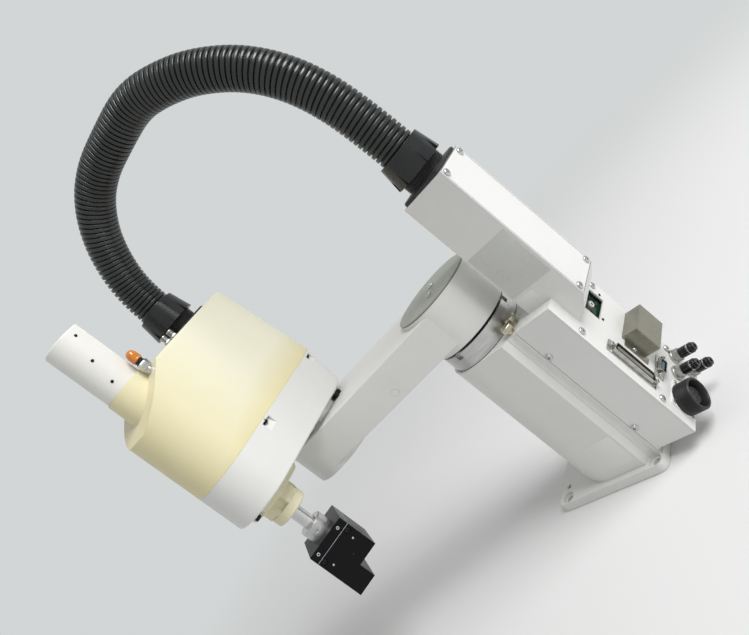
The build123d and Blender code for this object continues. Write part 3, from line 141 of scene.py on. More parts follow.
class Shader:
    """A principled material whose inputs are filled in by small node groups."""

    def __init__(self, name, colour, roughness, metallic=0.0, specular=0.5, coat=0.0):
        self.material = bpy.data.materials.new(name)
        self.material.use_nodes = True
        self.nodes = self.material.node_tree.nodes
        self.links = self.material.node_tree.links
        self.surface = self.nodes["Principled BSDF"]
        self.surface.inputs["Base Color"].default_value = (*colour, 1)
        self.surface.inputs["Roughness"].default_value = roughness
        self.surface.inputs["Metallic"].default_value = metallic
        self.surface.inputs["Specular IOR Level"].default_value = specular
        self.surface.inputs["Coat Weight"].default_value = coat
        self.place = self.nodes.new("ShaderNodeTexCoord").outputs["Object"]
        self.height = None

    def noise(self, scale, detail=4.0, rough=0.5, stretch=None):
        node = self.nodes.new("ShaderNodeTexNoise")
        node.inputs["Scale"].default_value = scale
        node.inputs["Detail"].default_value = detail
        node.inputs["Roughness"].default_value = rough
        source = self.place
        if stretch:
            mapping = self.nodes.new("ShaderNodeMapping")
            mapping.inputs["Scale"].default_value = stretch
            self.links.new(self.place, mapping.inputs["Vector"])
            source = mapping.outputs["Vector"]
        self.links.new(source, node.inputs["Vector"])
        return node.outputs["Fac"]

    def reach(self, direction, low, high):
        """0 to 1 between two distances from the origin along a direction."""
        node = self.nodes.new("ShaderNodeVectorMath")
        node.operation = "DOT_PRODUCT"
        node.inputs[1].default_value = direction
        self.links.new(self.place, node.inputs[0])
        return self.range(node.outputs["Value"], low, high, 0, 1)

    def larger(self, one, other):
        node = self.nodes.new("ShaderNodeMath")
        node.operation = "MAXIMUM"
        self.links.new(one, node.inputs[0])
        self.links.new(other, node.inputs[1])
        return node.outputs["Value"]

    def ramp(self, factor, low, high, colours):
        node = self.nodes.new("ShaderNodeValToRGB")
        for element, position, colour in zip(node.color_ramp.elements, (low, high), colours):
            element.position = position
            element.color = colour
        self.links.new(factor, node.inputs["Fac"])
        return node.outputs["Color"]

    def range(self, factor, low, high, to_low, to_high):
        node = self.nodes.new("ShaderNodeMapRange")
        node.inputs["From Min"].default_value = low
        node.inputs["From Max"].default_value = high
        node.inputs["To Min"].default_value = to_low
        node.inputs["To Max"].default_value = to_high
        self.links.new(factor, node.inputs["Value"])
        return node.outputs["Result"]

    def mix(self, factor, base, other):
        node = self.nodes.new("ShaderNodeMix")
        node.data_type = "RGBA"
        self.links.new(factor, node.inputs["Factor"])
        for socket, value in ((node.inputs["A"], base), (node.inputs["B"], other)):
            if isinstance(value, tuple):
                socket.default_value = value
            else:
                self.links.new(value, socket)
        return node.outputs["Result"]

    def paint(self, colour):
        self.links.new(colour, self.surface.inputs["Base Color"])

    def vary_roughness(self, factor, low, high, to_low, to_high):
        self.links.new(
            self.range(factor, low, high, to_low, to_high), self.surface.inputs["Roughness"]
        )

    def bump(self, factor, strength, distance):
        node = self.nodes.new("ShaderNodeBump")
        node.inputs["Strength"].default_value = strength
        node.inputs["Distance"].default_value = distance
        self.links.new(factor, node.inputs["Height"])
        if self.height:
            self.links.new(self.height, node.inputs["Normal"])
        self.height = node.outputs["Normal"]
        self.links.new(self.height, self.surface.inputs["Normal"])

    def soften_edges(self, radius):
        """Rounds the look of sharp edges, as enamel and mould radii do."""
        node = self.nodes.new("ShaderNodeBevel")
        node.samples = 4
        node.inputs["Radius"].default_value = radius
        self.height = node.outputs["Normal"]
        self.links.new(self.height, self.surface.inputs["Normal"])


def shade(colour, factor):
    return (colour[0] * factor, colour[1] * factor, colour[2] * factor, 1)


def enamel(name, colour, roughness=0.38, edge=1.0 * MM, specular=0.4):
    """Thick enamel: fine orange peel, faint grey handling marks and soft edges."""
    made = Shader(name, colour, roughness, specular=specular)
    made.soften_edges(edge)
    marks = made.noise(9, 6, 0.62)
    worn = made.ramp(marks, 0.42, 0.78, (shade(colour, 1), shade(colour, 0.93)))
    fleck = made.range(made.noise(240, 2, 0.5), 0.76, 0.82, 0, 0.3)
    made.paint(made.mix(fleck, worn, (0.33, 0.31, 0.27, 1)))
    made.vary_roughness(made.noise(30, 4), 0.3, 0.7, roughness - 0.07, roughness + 0.09)
    made.bump(made.noise(520, 2), 0.12, 0.0004)
    return made.material


def moulded(name, colour, roughness=0.42, edge=0.6 * MM, wear=0.88):
    """Moulded plastic: a fine even grain with clouds of darker age."""
    made = Shader(name, colour, roughness, specular=0.45)
    made.soften_edges(edge)
    clouds = made.noise(6, 5, 0.6)
    made.paint(made.ramp(clouds, 0.35, 0.75, (shade(colour, 1), shade(colour, wear))))
    made.vary_roughness(made.noise(45, 4), 0.3, 0.7, roughness - 0.06, roughness + 0.08)
    made.bump(made.noise(900, 2), 0.18, 0.0003)
    return made.material


def machined(name, colour, roughness=0.28, stretch=(60, 60, 900), edge=0.3 * MM):
    """Turned or ground metal with fine marks across its axis."""
    made = Shader(name, colour, roughness, metallic=1.0)
    made.soften_edges(edge)
    marks = made.noise(1, 3, 0.6, stretch)
    made.paint(made.ramp(marks, 0.3, 0.75, (shade(colour, 0.78), shade(colour, 1.08))))
    made.vary_roughness(made.noise(25, 5), 0.3, 0.7, roughness - 0.08, roughness + 0.12)
    made.bump(marks, 0.1, 0.0002)
    return made.material


IVORY = (0.86, 0.835, 0.66, 1)
# Painted shade colours for where the cover falls in shade
SHADE_YELLOW = (0.80, 0.70, 0.36, 1)
SHADE_YELLOW_DARK = (0.70, 0.61, 0.31, 1)


def ivory_cover_with_painted_shade(name):
    """Ivory plastic with painted shade: yellower and darker towards the arm's tip and its lower
    edge.
    """
    made = Shader(name, IVORY[:3], 0.4, specular=0.45)
    made.soften_edges(1.0 * MM)
    start = ELBOW.dot(ARM2_AHEAD)
    tip = made.reach(ARM2_AHEAD, start + 60 * MM, start + 175 * MM)
    foot = made.reach(-UP, -ARM2_SEAM - 38 * MM, -ARM2_SEAM)
    # Painted shade: blend towards the yellower, darker colours at the tip and the lower edge
    painted_shade = made.range(made.larger(tip, foot), 0, 1, 0.0, 0.75)
    clouds = made.ramp(made.noise(7, 5, 0.6), 0.4, 0.8, (SHADE_YELLOW, SHADE_YELLOW_DARK))
    made.paint(made.mix(painted_shade, IVORY, clouds))
    made.vary_roughness(made.noise(45, 4), 0.3, 0.7, 0.33, 0.48)
    made.bump(made.noise(900, 2), 0.15, 0.0003)
    return made.material


def lens_material():
    made = Shader("orange_lens", (0.85, 0.27, 0.02), 0.12, specular=0.6, coat=0.5)
    made.surface.inputs["Transmission Weight"].default_value = 0.3
    made.surface.inputs["Subsurface Weight"].default_value = 0.2
    tints = ((0.90, 0.32, 0.02, 1), (0.78, 0.18, 0.01, 1))
    made.paint(made.ramp(made.noise(80, 3), 0.3, 0.7, tints))
    made.bump(made.noise(300, 1), 0.1, 0.0002)
    return made.material


def hose_material():
    made = Shader("hose_nylon", (0.014, 0.015, 0.016), 0.27, specular=0.55)
    dusty = made.noise(14, 6, 0.65)
    tints = ((0.011, 0.012, 0.012, 1), (0.034, 0.037, 0.036, 1))
    made.paint(made.ramp(dusty, 0.45, 0.8, tints))
    made.vary_roughness(made.noise(60, 4), 0.3, 0.7, 0.20, 0.36)
    made.bump(made.noise(700, 2), 0.08, 0.0002)
    return made.material


white_enamel = enamel("white_enamel", (0.79, 0.79, 0.765))
white_sheet = enamel("white_sheet", (0.80, 0.80, 0.78), 0.42, 0.6 * MM)
cap_enamel = enamel("cap_enamel", (0.31, 0.32, 0.27), 0.33, 0.4 * MM)
cream_plastic = ivory_cover_with_painted_shade("cream_plastic")
tip_plastic = moulded("tip_plastic", (0.80, 0.755, 0.53))
white_plastic = moulded("white_plastic", (0.84, 0.83, 0.79), 0.36)
black_nylon = moulded("black_nylon", (0.012, 0.012, 0.013), 0.4, wear=1.6)
black_gloss = moulded("black_gloss", (0.010, 0.010, 0.011), 0.22, wear=1.5)
bright_steel = machined("bright_steel", (0.62, 0.62, 0.61))
shaft_steel = machined("shaft_steel", (0.66, 0.66, 0.66), 0.16, (40, 40, 1500))
beige_zinc = machined("beige_zinc", (0.66, 0.60, 0.46), 0.3, (300, 300, 300))
tinned = machined("tinned", (0.50, 0.50, 0.47), 0.28, (200, 200, 200))
olive_metal = machined("olive_metal", (0.34, 0.33, 0.27), 0.36, (40, 700, 700))
alloy = machined("alloy", (0.70, 0.71, 0.72), 0.34, (200, 200, 400))
black_alloy = enamel("black_alloy", (0.004, 0.004, 0.005), 0.34, 0.5 * MM, 0.14)
black_oxide = machined("black_oxide", (0.03, 0.03, 0.032), 0.35, (300, 300, 300))
board_green = enamel("board_green", (0.010, 0.055, 0.03), 0.3, 0.2 * MM)
blue_grey = moulded("blue_grey", (0.12, 0.17, 0.20), 0.5)
plate_film = moulded("plate_film", (0.66, 0.67, 0.64), 0.3, 0.1 * MM)
label_film = moulded("label_film", (0.84, 0.84, 0.81), 0.35, 0.1 * MM)
seam_shadow = moulded("seam_shadow", (0.03, 0.03, 0.028), 0.7, 0.1 * MM)
motor_black = enamel("motor_black", (0.02, 0.02, 0.02), 0.4)
belt_black = moulded("belt_black", (0.015, 0.015, 0.015), 0.7)
orange_lens = lens_material()
hose_nylon = hose_material()

REDUCER_PARTS = tuple(
    f"joint{k}_{part}"
    for k in (1, 2)
    for part in ("ring", "circular_spline", "wave_generator")
)
NODE_MATERIALS = {
    white_enamel: ("base_casting", "arm1_link", "arm2_casting"),
    white_sheet: (
        "connector_box",
        "connector_panel",
        "cable_duct",
        "duct_cover",
        "arm1_bottom_cover",
    ),
    cap_enamel: ("hub_cap",),
    cream_plastic: ("arm2_cover",),
    tip_plastic: ("shaft_plate", "shaft_boss"),
    white_plastic: ("tower_cover", "arm1_plug"),
    bright_steel: REDUCER_PARTS
    + ("shaft_collar", "spline_nut", "screw_nut", "cover_screws", "hub_cap_screws")
    + ("collar_screw", "joint2_output"),
    shaft_steel: ("shaft",),
    beige_zinc: ("joint1_stop_bolts",),
    # joint1_output takes the dark oxide finish as painted shade for the recess under the hub
    black_oxide: ("joint2_stop_screws", "joint1_output"),
    alloy: ("spline_housing", "motor_deck", "joint3_pulley", "joint4_pulley"),
    black_alloy: ("tool_plate", "tool_block"),
    motor_black: ("joint1_motor", "joint2_motor", "joint3_motor", "joint4_motor"),
    black_gloss: ("duct_gland_nut", "arm2_gland_nut"),
    black_nylon: ("duct_gland", "arm2_gland", "power_connector", "air_fittings"),
    belt_black: ("joint3_belt", "joint4_belt"),
    board_green: ("interface_board",),
    tinned: ("signal_connector", "user_connector", "lamp_post", "arm2_fittings"),
    olive_metal: ("connector_hood",),
    orange_lens: ("lamp_lens",),
}
for finish, names in NODE_MATERIALS.items():
    for node_name in names:
        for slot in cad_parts[node_name].material_slots:
            slot.material = finish


# Mesh helpers

SHARP_ANGLE = math.radians(38)


def add_mesh(name, bm, material, body, node=None, sharp=True):
    """Makes a piece of a form, lets it ride on a body and stand for a solid."""
    mesh = bpy.data.meshes.new(name)
    bmesh.ops.recalc_face_normals(bm, faces=bm.faces)
    bm.to_mesh(mesh)
    bm.free()
    for face in mesh.polygons:
        face.use_smooth = True
    if sharp:
        mesh.set_sharp_from_angle(angle=SHARP_ANGLE)
    mesh.materials.append(material)
    piece = bpy.data.objects.new(name, mesh)
    bpy.context.collection.objects.link(piece)
    if body:
        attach(piece, body)
    if node:
        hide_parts(node)
    return piece


def circle(radius, sides=32):
    turn = 2 * math.pi / sides
    return [(radius * math.cos(k * turn), radius * math.sin(k * turn)) for k in range(sides)]


def rounded(width, height, radius, steps=5):
    """The outline of a rounded rectangle about its centre."""
    points = []
    for quarter in range(4):
        x = (width / 2 - radius) * (1 if quarter in (0, 3) else -1)
        y = (height / 2 - radius) * (1 if quarter in (0, 1) else -1)
        for k in range(steps + 1):
            angle = math.radians(90) * (quarter + k / steps)
            points.append((x + radius * math.cos(angle), y + radius * math.sin(angle)))
    return points


def sized(outline, factor):
    return [(x * factor, y * factor) for x, y in outline]


def loft(bm, place, sections, closed=False):
    """A skin over outlines at heights above a place, capped flat or closed on itself."""
    loops = [
        [bm.verts.new(place @ Vector((x, y, height))) for x, y in outline]
        for outline, height in sections
    ]
    pairs = list(zip(loops, loops[1:]))
    if closed:
        pairs.append((loops[-1], loops[0]))
    else:
        bm.faces.new(list(reversed(loops[0])))
        bm.faces.new(loops[-1])
    for low, high in pairs:
        for k in range(len(low)):
            j = (k + 1) % len(low)
            bm.faces.new((low[k], low[j], high[j], high[k]))


def lathe(bm, place, profile, sides=32, closed=False):
    """A turned form; its profile is pairs of radius and height in millimetres."""
    sections = [(circle(radius * MM, sides), height * MM) for radius, height in profile]
    loft(bm, place, sections, closed)


def plate(bm, place, width, height, radius, thickness, edge):
    """A flat plate with rounded corners and a small bevel, in millimetres."""
    outline = sized(rounded(width, height, radius), MM)
    inner = sized(rounded(width - 2 * edge, height - 2 * edge, radius), MM)
    sections = [(outline, 0), (outline, (thickness - edge) * MM), (inner, thickness * MM)]
    loft(bm, place, sections)


def hexagon(bm, place, radius, low, high, chamfer=0.6):
    """A chamfered hexagon between two heights, in millimetres."""
    full = circle(radius * MM, 6)
    small = sized(full, 1 - 0.8 * chamfer / radius)
    levels = ((small, low), (full, low + chamfer), (full, high - chamfer), (small, high))
    loft(bm, place, [(outline, height * MM) for outline, height in levels])


def carve(bm, cutter):
    """One closed form less another."""
    holders = []
    for form in (bm, cutter):
        mesh = bpy.data.meshes.new("carving")
        bmesh.ops.recalc_face_normals(form, faces=form.faces)
        form.to_mesh(mesh)
        form.free()
        holder = bpy.data.objects.new("carving", mesh)
        bpy.context.collection.objects.link(holder)
        holders.append(holder)
    cut = holders[0].modifiers.new("cut", "BOOLEAN")
    cut.object = holders[1]
    cut.solver = "EXACT"
    made = bmesh.new()
    made.from_object(holders[0], bpy.context.evaluated_depsgraph_get())
    for holder in holders:
        mesh = holder.data
        bpy.data.objects.remove(holder)
        bpy.data.meshes.remove(mesh)
    return made


def pan_heads(places, radius=3.9, height=2.4):
    """Cross-recessed pan heads, in millimetres, with their shanks' first turns."""
    heads, crosses = bmesh.new(), bmesh.new()
    arm, half = 0.58 * radius * MM, 0.15 * radius * MM
    corner = [(arm, half), (half, half), (half, arm)]
    cross = []
    for quarter in range(4):
        turn = Matrix.Rotation(quarter * math.pi / 2, 2)
        cross += [tuple(turn @ Vector(point)) for point in corner]
    profile = ((0.5, -0.4), (0.5, 0), (1, 0), (1, 0.35), (0.94, 0.62), (0.78, 0.86), (0.4, 1))
    for place in places:
        lathe(heads, place, [(r * radius, h * height) for r, h in profile])
        depths = ((sized(cross, 0.6), 0.4), (cross, 1.0), (sized(cross, 1.15), 1.4))
        loft(crosses, place, [(outline, h * height * MM) for outline, h in depths])
    return carve(heads, crosses)


def socket_heads(places, radius, height):
    """Knurled cap heads with a hexagon socket, in millimetres."""
    heads, keys = bmesh.new(), bmesh.new()
    knurl = [
        (x * (0.955 if k % 2 else 1), y * (0.955 if k % 2 else 1))
        for k, (x, y) in enumerate(circle(radius * MM, 48))
    ]
    for place in places:
        levels = ((knurl, 0), (knurl, 0.82), (circle(0.9 * radius * MM, 48), 1))
        loft(heads, place, [(outline, h * height * MM) for outline, h in levels])
        key = circle(0.5 * radius * MM, 6)
        loft(keys, place, [(key, 0.35 * height * MM), (key, 1.3 * height * MM)])
    return carve(heads, keys)


# Conduit: its route lies in the upright plane through both glands

GLAND2 = on_arm2(ARM2_GLAND_STATION, 0, 0)
SPAN_VECTOR = Vector((GLAND2.x - DUCT_MID, GLAND2.y, 0))
SPAN = SPAN_VECTOR.length
ALONG = SPAN_VECTOR.normalized()
HOSE_START = DUCT_TOP + GLAND_SEAT
HOSE_END = COVER_TOP + GLAND_SEAT
ARCH_SPLIT = (0.163, 0.6509)
BASE_ROUTE = (
    (0, HOSE_START),
    (0, 0.462),
    (0.0084, 0.5214),
    (0.0307, 0.5716),
    (0.0675, 0.6125),
    (0.106, 0.6375),
    (0.140, 0.6509),
    ARCH_SPLIT,
)
ARM_ROUTE = (
    ARCH_SPLIT,
    (0.190, 0.6509),
    (SPAN - 0.1037, 0.649),
    (SPAN - 0.0681, 0.6372),
    (SPAN - 0.035, 0.6113),
    (SPAN - 0.0121, 0.5761),
    (SPAN, 0.5365),
    (SPAN, HOSE_END),
)
RIDGE_PITCH = 5.5 * MM
GROOVE_DEPTH = 2.7 * MM
RIDGE_SHAPE = (
    (0.0, 1.0),
    (0.12, 1.0),
    (0.17, 0.5),
    (0.22, 0.12),
    (0.32, 0.0),
    (0.80, 0.0),
    (0.90, 0.12),
    (0.95, 0.5),
)
HOSE_SIDES = 64


def route_point(reach, height):
    return Vector((DUCT_MID, 0, 0)) + ALONG * reach + UP * height


def nurbs_points(name, points):
    """The smooth line of a route whose points are the spline's control points."""
    curve = bpy.data.curves.new(name, "CURVE")
    curve.dimensions = "3D"
    curve.resolution_u = 32
    spline = curve.splines.new("NURBS")
    spline.points.add(len(points) - 1)
    for control, point in zip(spline.points, points):
        control.co = (*point, 1)
    spline.order_u = 3
    spline.use_endpoint_u = True
    holder = bpy.data.objects.new(name, curve)
    bpy.context.collection.objects.link(holder)
    line = bpy.data.meshes.new_from_object(holder)
    made = [vertex.co.copy() for vertex in line.vertices]
    bpy.data.objects.remove(holder)
    bpy.data.curves.remove(curve)
    bpy.data.meshes.remove(line)
    return made


def evenly(points, step):
    """Stations along a line of points, a step apart, with both ends kept."""
    lengths = [0.0]
    for before, after in zip(points, points[1:]):
        lengths.append(lengths[-1] + (after - before).length)
    count = max(2, round(lengths[-1] / step))
    stations = []
    k = 0
    for i in range(count + 1):
        goal = lengths[-1] * i / count
        while k < len(points) - 2 and lengths[k + 1] < goal:
            k += 1
        span = lengths[k + 1] - lengths[k]
        share = (goal - lengths[k]) / span if span else 0
        stations.append(points[k].lerp(points[k + 1], share))
    return stations


def corrugated(name, route, node):
    """A ribbed tube along a route: broad ridges a pitch apart with narrow grooves."""
    rings = evenly(nurbs_points(name, [route_point(*p) for p in route]), RIDGE_PITCH)
    side = ALONG.cross(UP)
    bm = bmesh.new()
    loops = []

    def ring(centre, ahead, depth):
        up = side.cross(ahead).normalized()
        outline = circle(HOSE_RADIUS - depth * GROOVE_DEPTH, HOSE_SIDES)
        return [bm.verts.new(centre + x * side + y * up) for x, y in outline]

    for here, there in zip(rings, rings[1:]):
        ahead = (there - here).normalized()
        loops += [ring(here.lerp(there, share), ahead, depth) for share, depth in RIDGE_SHAPE]
    loops.append(ring(rings[-1], (rings[-1] - rings[-2]).normalized(), 1.0))
    for low, high in zip(loops, loops[1:]):
        for k in range(HOSE_SIDES):
            j = (k + 1) % HOSE_SIDES
            bm.faces.new((low[k], low[j], high[j], high[k]))
    bm.faces.new(loops[0])
    bm.faces.new(list(reversed(loops[-1])))
    return add_mesh(name, bm, hose_nylon, None, node, sharp=False), rings


base_hose, base_rings = corrugated("conduit_base_half", BASE_ROUTE, "hose_base_half")
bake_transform(base_hose)
arm_hose, arm_rings = corrugated("conduit_arm_half", ARM_ROUTE, "hose_arm_half")
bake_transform(arm_hose)


# Screws on the base and arm 1


def base_screw_places():
    duct = [
        facing(Vector((DUCT_BACK, y * MM, z * MM)), REAR)
        for y in (-22, 22)
        for z in (369.2, 204.5)
    ]
    panel = [on_panel(y, z) for y in (-38, 38) for z in (171.5, 63.7)]
    flanks = [
        facing(Vector((FLANK_SCREW_X, side * BOX_HALF, z * MM)), side * LEFT)
        for side in (-1, 1)
        for z in (170.9, 52.6)
    ]
    return duct + panel + flanks


def arm1_place(station, side, z):
    return facing(station * MM * ARM1_AHEAD + side * MM * ARM1_LEFT + z * UP, UP, ARM1_AHEAD)


add_mesh(
    "cover_pan_screws",
    pan_heads(base_screw_places()),
    bright_steel,
    "base",
    "cover_screws",
)
add_mesh(
    "hub_cap_pan_screws",
    pan_heads([arm1_place(0, side, HUB_TOP) for side in (-13, 13)]),
    bright_steel,
    "arm1",
    "hub_cap_screws",
)
add_mesh(
    "joint2_stop_cap_screws",
    socket_heads([arm1_place(177, side, LINK_TOP) for side in (3.5, -4.5)], 3.5, 5),
    black_oxide,
    "arm1",
    "joint2_stop_screws",
)


def make_stop_bolts():
    bm = bmesh.new()
    for x, y in ((-55.5, 37), (-55.5, 21.5)):
        place = facing(Vector((x * MM, y * MM, COLUMN_TOP)), UP, LEFT)
        lathe(bm, place, ((4, 0), (4, 4)))
        hexagon(bm, place, 7, 4, 10, 0.8)
    add_mesh("joint1_hex_bolts", bm, beige_zinc, "base", "joint1_stop_bolts")


make_stop_bolts()


# Painted shadow: thin dark strips laid in seams, where the gaps' shade falls


def painted_shadow_ring(name, place, radius, low, high, body):
    """A thin dark ring of painted shadow in the gap between two round pieces, in millimetres."""
    bm = bmesh.new()
    inner = radius - 0.6
    profile = ((inner, low), (radius, low), (radius, high), (inner, high))
    lathe(bm, place, profile, 96, closed=True)
    add_mesh(name, bm, seam_shadow, body)


# Painted shadow rings in the gaps at the hub cap and at the joint 1 ring
painted_shadow_ring("hub_cap_seam_shadow_ring", facing(HUB_TOP * UP, UP, LEFT), HUB_CAP_SEAM_RADIUS, -1.8, -1.3, "arm1")
painted_shadow_ring("joint1_ring_seam_shadow_ring", facing(COLUMN_TOP * UP, UP, LEFT), RING_SEAM_RADIUS, 0.0, 0.7, "base")


def make_sheet_seam_shadows():
    # Painted shadow: a dark frame round the duct cover, and dark strips at the flanks' seams
    bm = bmesh.new()
    outer = sized(rounded(52.7, 176.7, 0.3, 1), MM)
    inner = sized(rounded(51.8, 175.8, 0.3, 1), MM)
    middle = facing(Vector((DUCT_BACK, 0, DUCT_SEAM_MIDDLE)), REAR)
    depths = ((outer, -0.8), (outer, 0.04), (inner, 0.04), (inner, -0.8))
    loft(bm, middle, [(outline, depth * MM) for outline, depth in depths], closed=True)
    for side in (-1, 1):
        flank = facing(Vector((FLANK_SEAM_X, side * (BOX_HALF - 0.5 * MM), 114 * MM)), side * LEFT)
        plate(bm, flank, 0.45, 194, 0.1, 0.54, 0.05)
    add_mesh("sheet_seam_shadow_strips", bm, seam_shadow, "base")


make_sheet_seam_shadows()


# Panel connectors and fittings


def d_outline(width, length, radius, slant=0.08):
    """A D-shaped outline: one long side is a little shorter than the other."""
    outline = rounded(width, length, radius)
    return [(x * MM, y * (1 - slant * x / width) * MM) for x, y in outline]


def d_connector(name, node, place, width, length, spacing, shell, core):
    """Flange, shell and jackscrews of a D-shaped socket, with its moulded core."""
    shell_width, shell_length = shell
    bm = bmesh.new()
    plate(bm, place, width, length, 1.2, 1, 0.2)
    outer = d_outline(shell_width, shell_length, 2.4)
    inner = d_outline(shell_width - 1.6, shell_length - 1.6, 1.7)
    levels = ((outer, 1), (outer, 5.8), (inner, 5.8), (inner, 1.2))
    loft(bm, place, [(outline, height * MM) for outline, height in levels])
    for side in (-1, 1):
        jack = place @ Matrix.Translation((0, side * spacing / 2 * MM, 0))
        hexagon(bm, jack, 2.6, 0.9, 4.2, 0.3)
        profile = ((1.1, 2.5), (1.1, 3.6), (2.1, 4.0), (2.1, 5.4), (0.9, 5.5), (0.9, 3.0))
        lathe(bm, jack, profile, 20)
    add_mesh(name, bm, tinned, "base", node)
    bm = bmesh.new()
    filling = d_outline(shell_width - 1.8, shell_length - 1.8, 1.7)
    loft(bm, place, [(filling, 1.1 * MM), (filling, 2.6 * MM)])
    add_mesh(name + "_floor", bm, black_nylon, "base")
    bm = bmesh.new()
    ridge = d_outline(shell_width * 0.36, shell_length - 6, 0.8, 0.02)
    loft(bm, place, [(ridge, 2 * MM), (ridge, 5 * MM), (sized(ridge, 0.94), 5.3 * MM)])
    add_mesh(name + "_core", bm, core, "base")


QUARTER_TURN = Matrix.Rotation(math.pi / 2, 4, "Z")
d_connector(
    "signal_socket",
    "signal_connector",
    on_panel(26.5, 106.4),
    15.4,
    67,
    61.1,
    (11.4, 54.1),
    olive_metal,
)
d_connector(
    "user_socket",
    "user_connector",
    on_panel(-1, 70.5) @ QUARTER_TURN,
    12.5,
    30.8,
    25,
    (9, 17.5),
    blue_grey,
)


def make_hood_foot():
    """Folded foot of the hood on the panel, and the screw through it."""
    bm = bmesh.new()
    plate(bm, on_panel(4.6, 102.5), 8.4, 33, 1.2, 1, 0.15)
    add_mesh("hood_foot", bm, olive_metal, "base")
    heads = [on_panel(4.4, 106) @ Matrix.Translation((0, 0, MM))]
    add_mesh("hood_screw", pan_heads(heads, 2.6, 1.8), bright_steel, "base")


make_hood_foot()


def make_power_socket():
    """Threaded shell with a deep mouth on a thin flange, and four small screws."""
    place = on_panel(17, 35.5)
    bm = bmesh.new()
    plate(bm, place, 34, 34, 3, 1.5, 0.3)
    add_mesh("power_flange", bm, white_sheet, "base")
    profile = [(14.5, 18.2), (15.1, 19), (16.7, 19), (17.3, 18.4)]
    pitch, crest, root = 1.6, 17.5, 16.8
    for k in range(8):
        high = 17.6 - k * pitch
        profile += [(crest, high), (crest, high - 0.4), (root, high - 0.8), (root, high - 1.2)]
    profile += [(crest, 4.2), (crest, 1.4), (10, 1.4), (10, 5), (14.5, 5)]
    bm = bmesh.new()
    lathe(bm, place, profile, 64, closed=True)
    lathe(bm, place, ((9.5, 1.4), (9.5, 13.6), (9.1, 14)), 48)
    holes = bmesh.new()
    for radius, count in ((3.0, 3), (6.6, 7)):
        for k in range(count):
            angle = 2 * math.pi * k / count
            spot = Vector((radius * math.cos(angle) * MM, radius * math.sin(angle) * MM, 0))
            lathe(holes, place @ Matrix.Translation(spot), ((0.8, 10), (0.8, 15)), 12)
    bm = carve(bm, holes)
    add_mesh("power_shell", bm, black_nylon, "base", "power_connector")
    corners = [
        place @ Matrix.Translation((x * 14 * MM, y * 14 * MM, 1.5 * MM))
        for x in (-1, 1)
        for y in (-1, 1)
    ]
    add_mesh("power_screws", pan_heads(corners, 2, 1.2), bright_steel, "base")


make_power_socket()


def make_air_fittings():
    """Push-in fittings: a plated seat, a glossy body with a bright ring, a collar."""
    seats, bodies, rings = bmesh.new(), bmesh.new(), bmesh.new()
    for y, z in ((-35, 52), (-14, 47), (-34, 28)):
        place = on_panel(y, z)
        lathe(seats, place, ((8, 0), (8, 2.5), (7.5, 3), (6.5, 3), (6.5, 4)))
        hexagon(seats, place, 7.2, 3, 9, 0.5)
        body = ((5.2, 8.8), (5.2, 9.5), (5.8, 10.2), (5.8, 18.4), (5.4, 18.9), (5.4, 20.2))
        body += ((5.8, 20.6), (5.8, 23.4), (5.2, 24), (3.2, 24))
        lathe(bodies, place, body)
        collar = ((2.0, 22), (4.3, 22), (4.3, 24.4), (4.6, 25), (4.6, 26), (4.2, 26.5), (2, 26.5))
        lathe(bodies, place, collar, closed=True)
        lathe(rings, place, ((5.0, 18.9), (5.7, 18.9), (5.7, 20.2), (5.0, 20.2)), closed=True)
    add_mesh("air_seats", seats, tinned, "base", "air_fittings")
    add_mesh("air_bodies", bodies, black_gloss, "base")
    add_mesh("air_rings", rings, bright_steel, "base")


make_air_fittings()


def make_board_parts():
    """Parts on the board behind the window, and the window's two small screws."""
    board = Vector((BOARD_X, 0, 0))

    def on_board(y, z):
        return facing(board + Vector((0, y * MM, z * MM)), REAR)

    bm = bmesh.new()
    lathe(bm, on_board(-16, 164.5), ((3.7, 0), (3.7, 2.2), (3.3, 2.6), (1.6, 2.6), (1.4, 2.1)))
    add_mesh("board_socket", bm, white_plastic, "base")
    bm = bmesh.new()
    chips = ((-6, 168, 6, 4), (-7, 158.5, 5, 7), (-24, 159, 7, 5), (-25, 169, 4, 4))
    for y, z, width, height in chips:
        plate(bm, on_board(y, z), width, height, 0.3, 1.4, 0.2)
    add_mesh("board_chips", bm, black_gloss, "base")
    heads = [on_panel(-33.5, 160), on_panel(-2, 150)]
    add_mesh("window_screws", pan_heads(heads, 1.5, 0.9), black_oxide, "base")


make_board_parts()


def add_label(name, place, width, height, material):
    bm = bmesh.new()
    plate(bm, place, width, height, 1.2, 0.25, 0.1)
    add_mesh(name, bm, material, "base")


DUCT_FLANK = facing(Vector((0, DUCT_SIDE, 0)), LEFT)
COLUMN_FLANK = facing(Vector((0, COLUMN_SIDE, 0)), LEFT)


def on_flank(flank, x, z):
    return Matrix.Translation((x * MM, 0, z * MM)) @ flank


add_label("blank_nameplate", on_flank(DUCT_FLANK, -108, 266), 53, 60, plate_film)
add_label("blank_duct_label", on_flank(DUCT_FLANK, -93.5, 227), 22, 12, label_film)
add_label("blank_column_label", on_flank(COLUMN_FLANK, -22, 42), 38, 40, label_film)


# Glands


def make_gland(name, node, place, body):
    """A bevelled square flange and a threaded barrel round the conduit's end."""
    bm = bmesh.new()
    plate(bm, place, 54, 54, 5, 4, 1)
    profile = [(18, 3), (18, 24), (23.4, 24), (24, 23.4)]
    for k in range(10):
        high = 22.6 - 1.8 * k
        profile += [(24, high), (24, high - 0.5), (23.1, high - 0.9), (23.1, high - 1.3)]
    profile += [(24, 4.2), (24, 3)]
    lathe(bm, place, profile, 64, closed=True)
    add_mesh(name, bm, black_nylon, body, node)


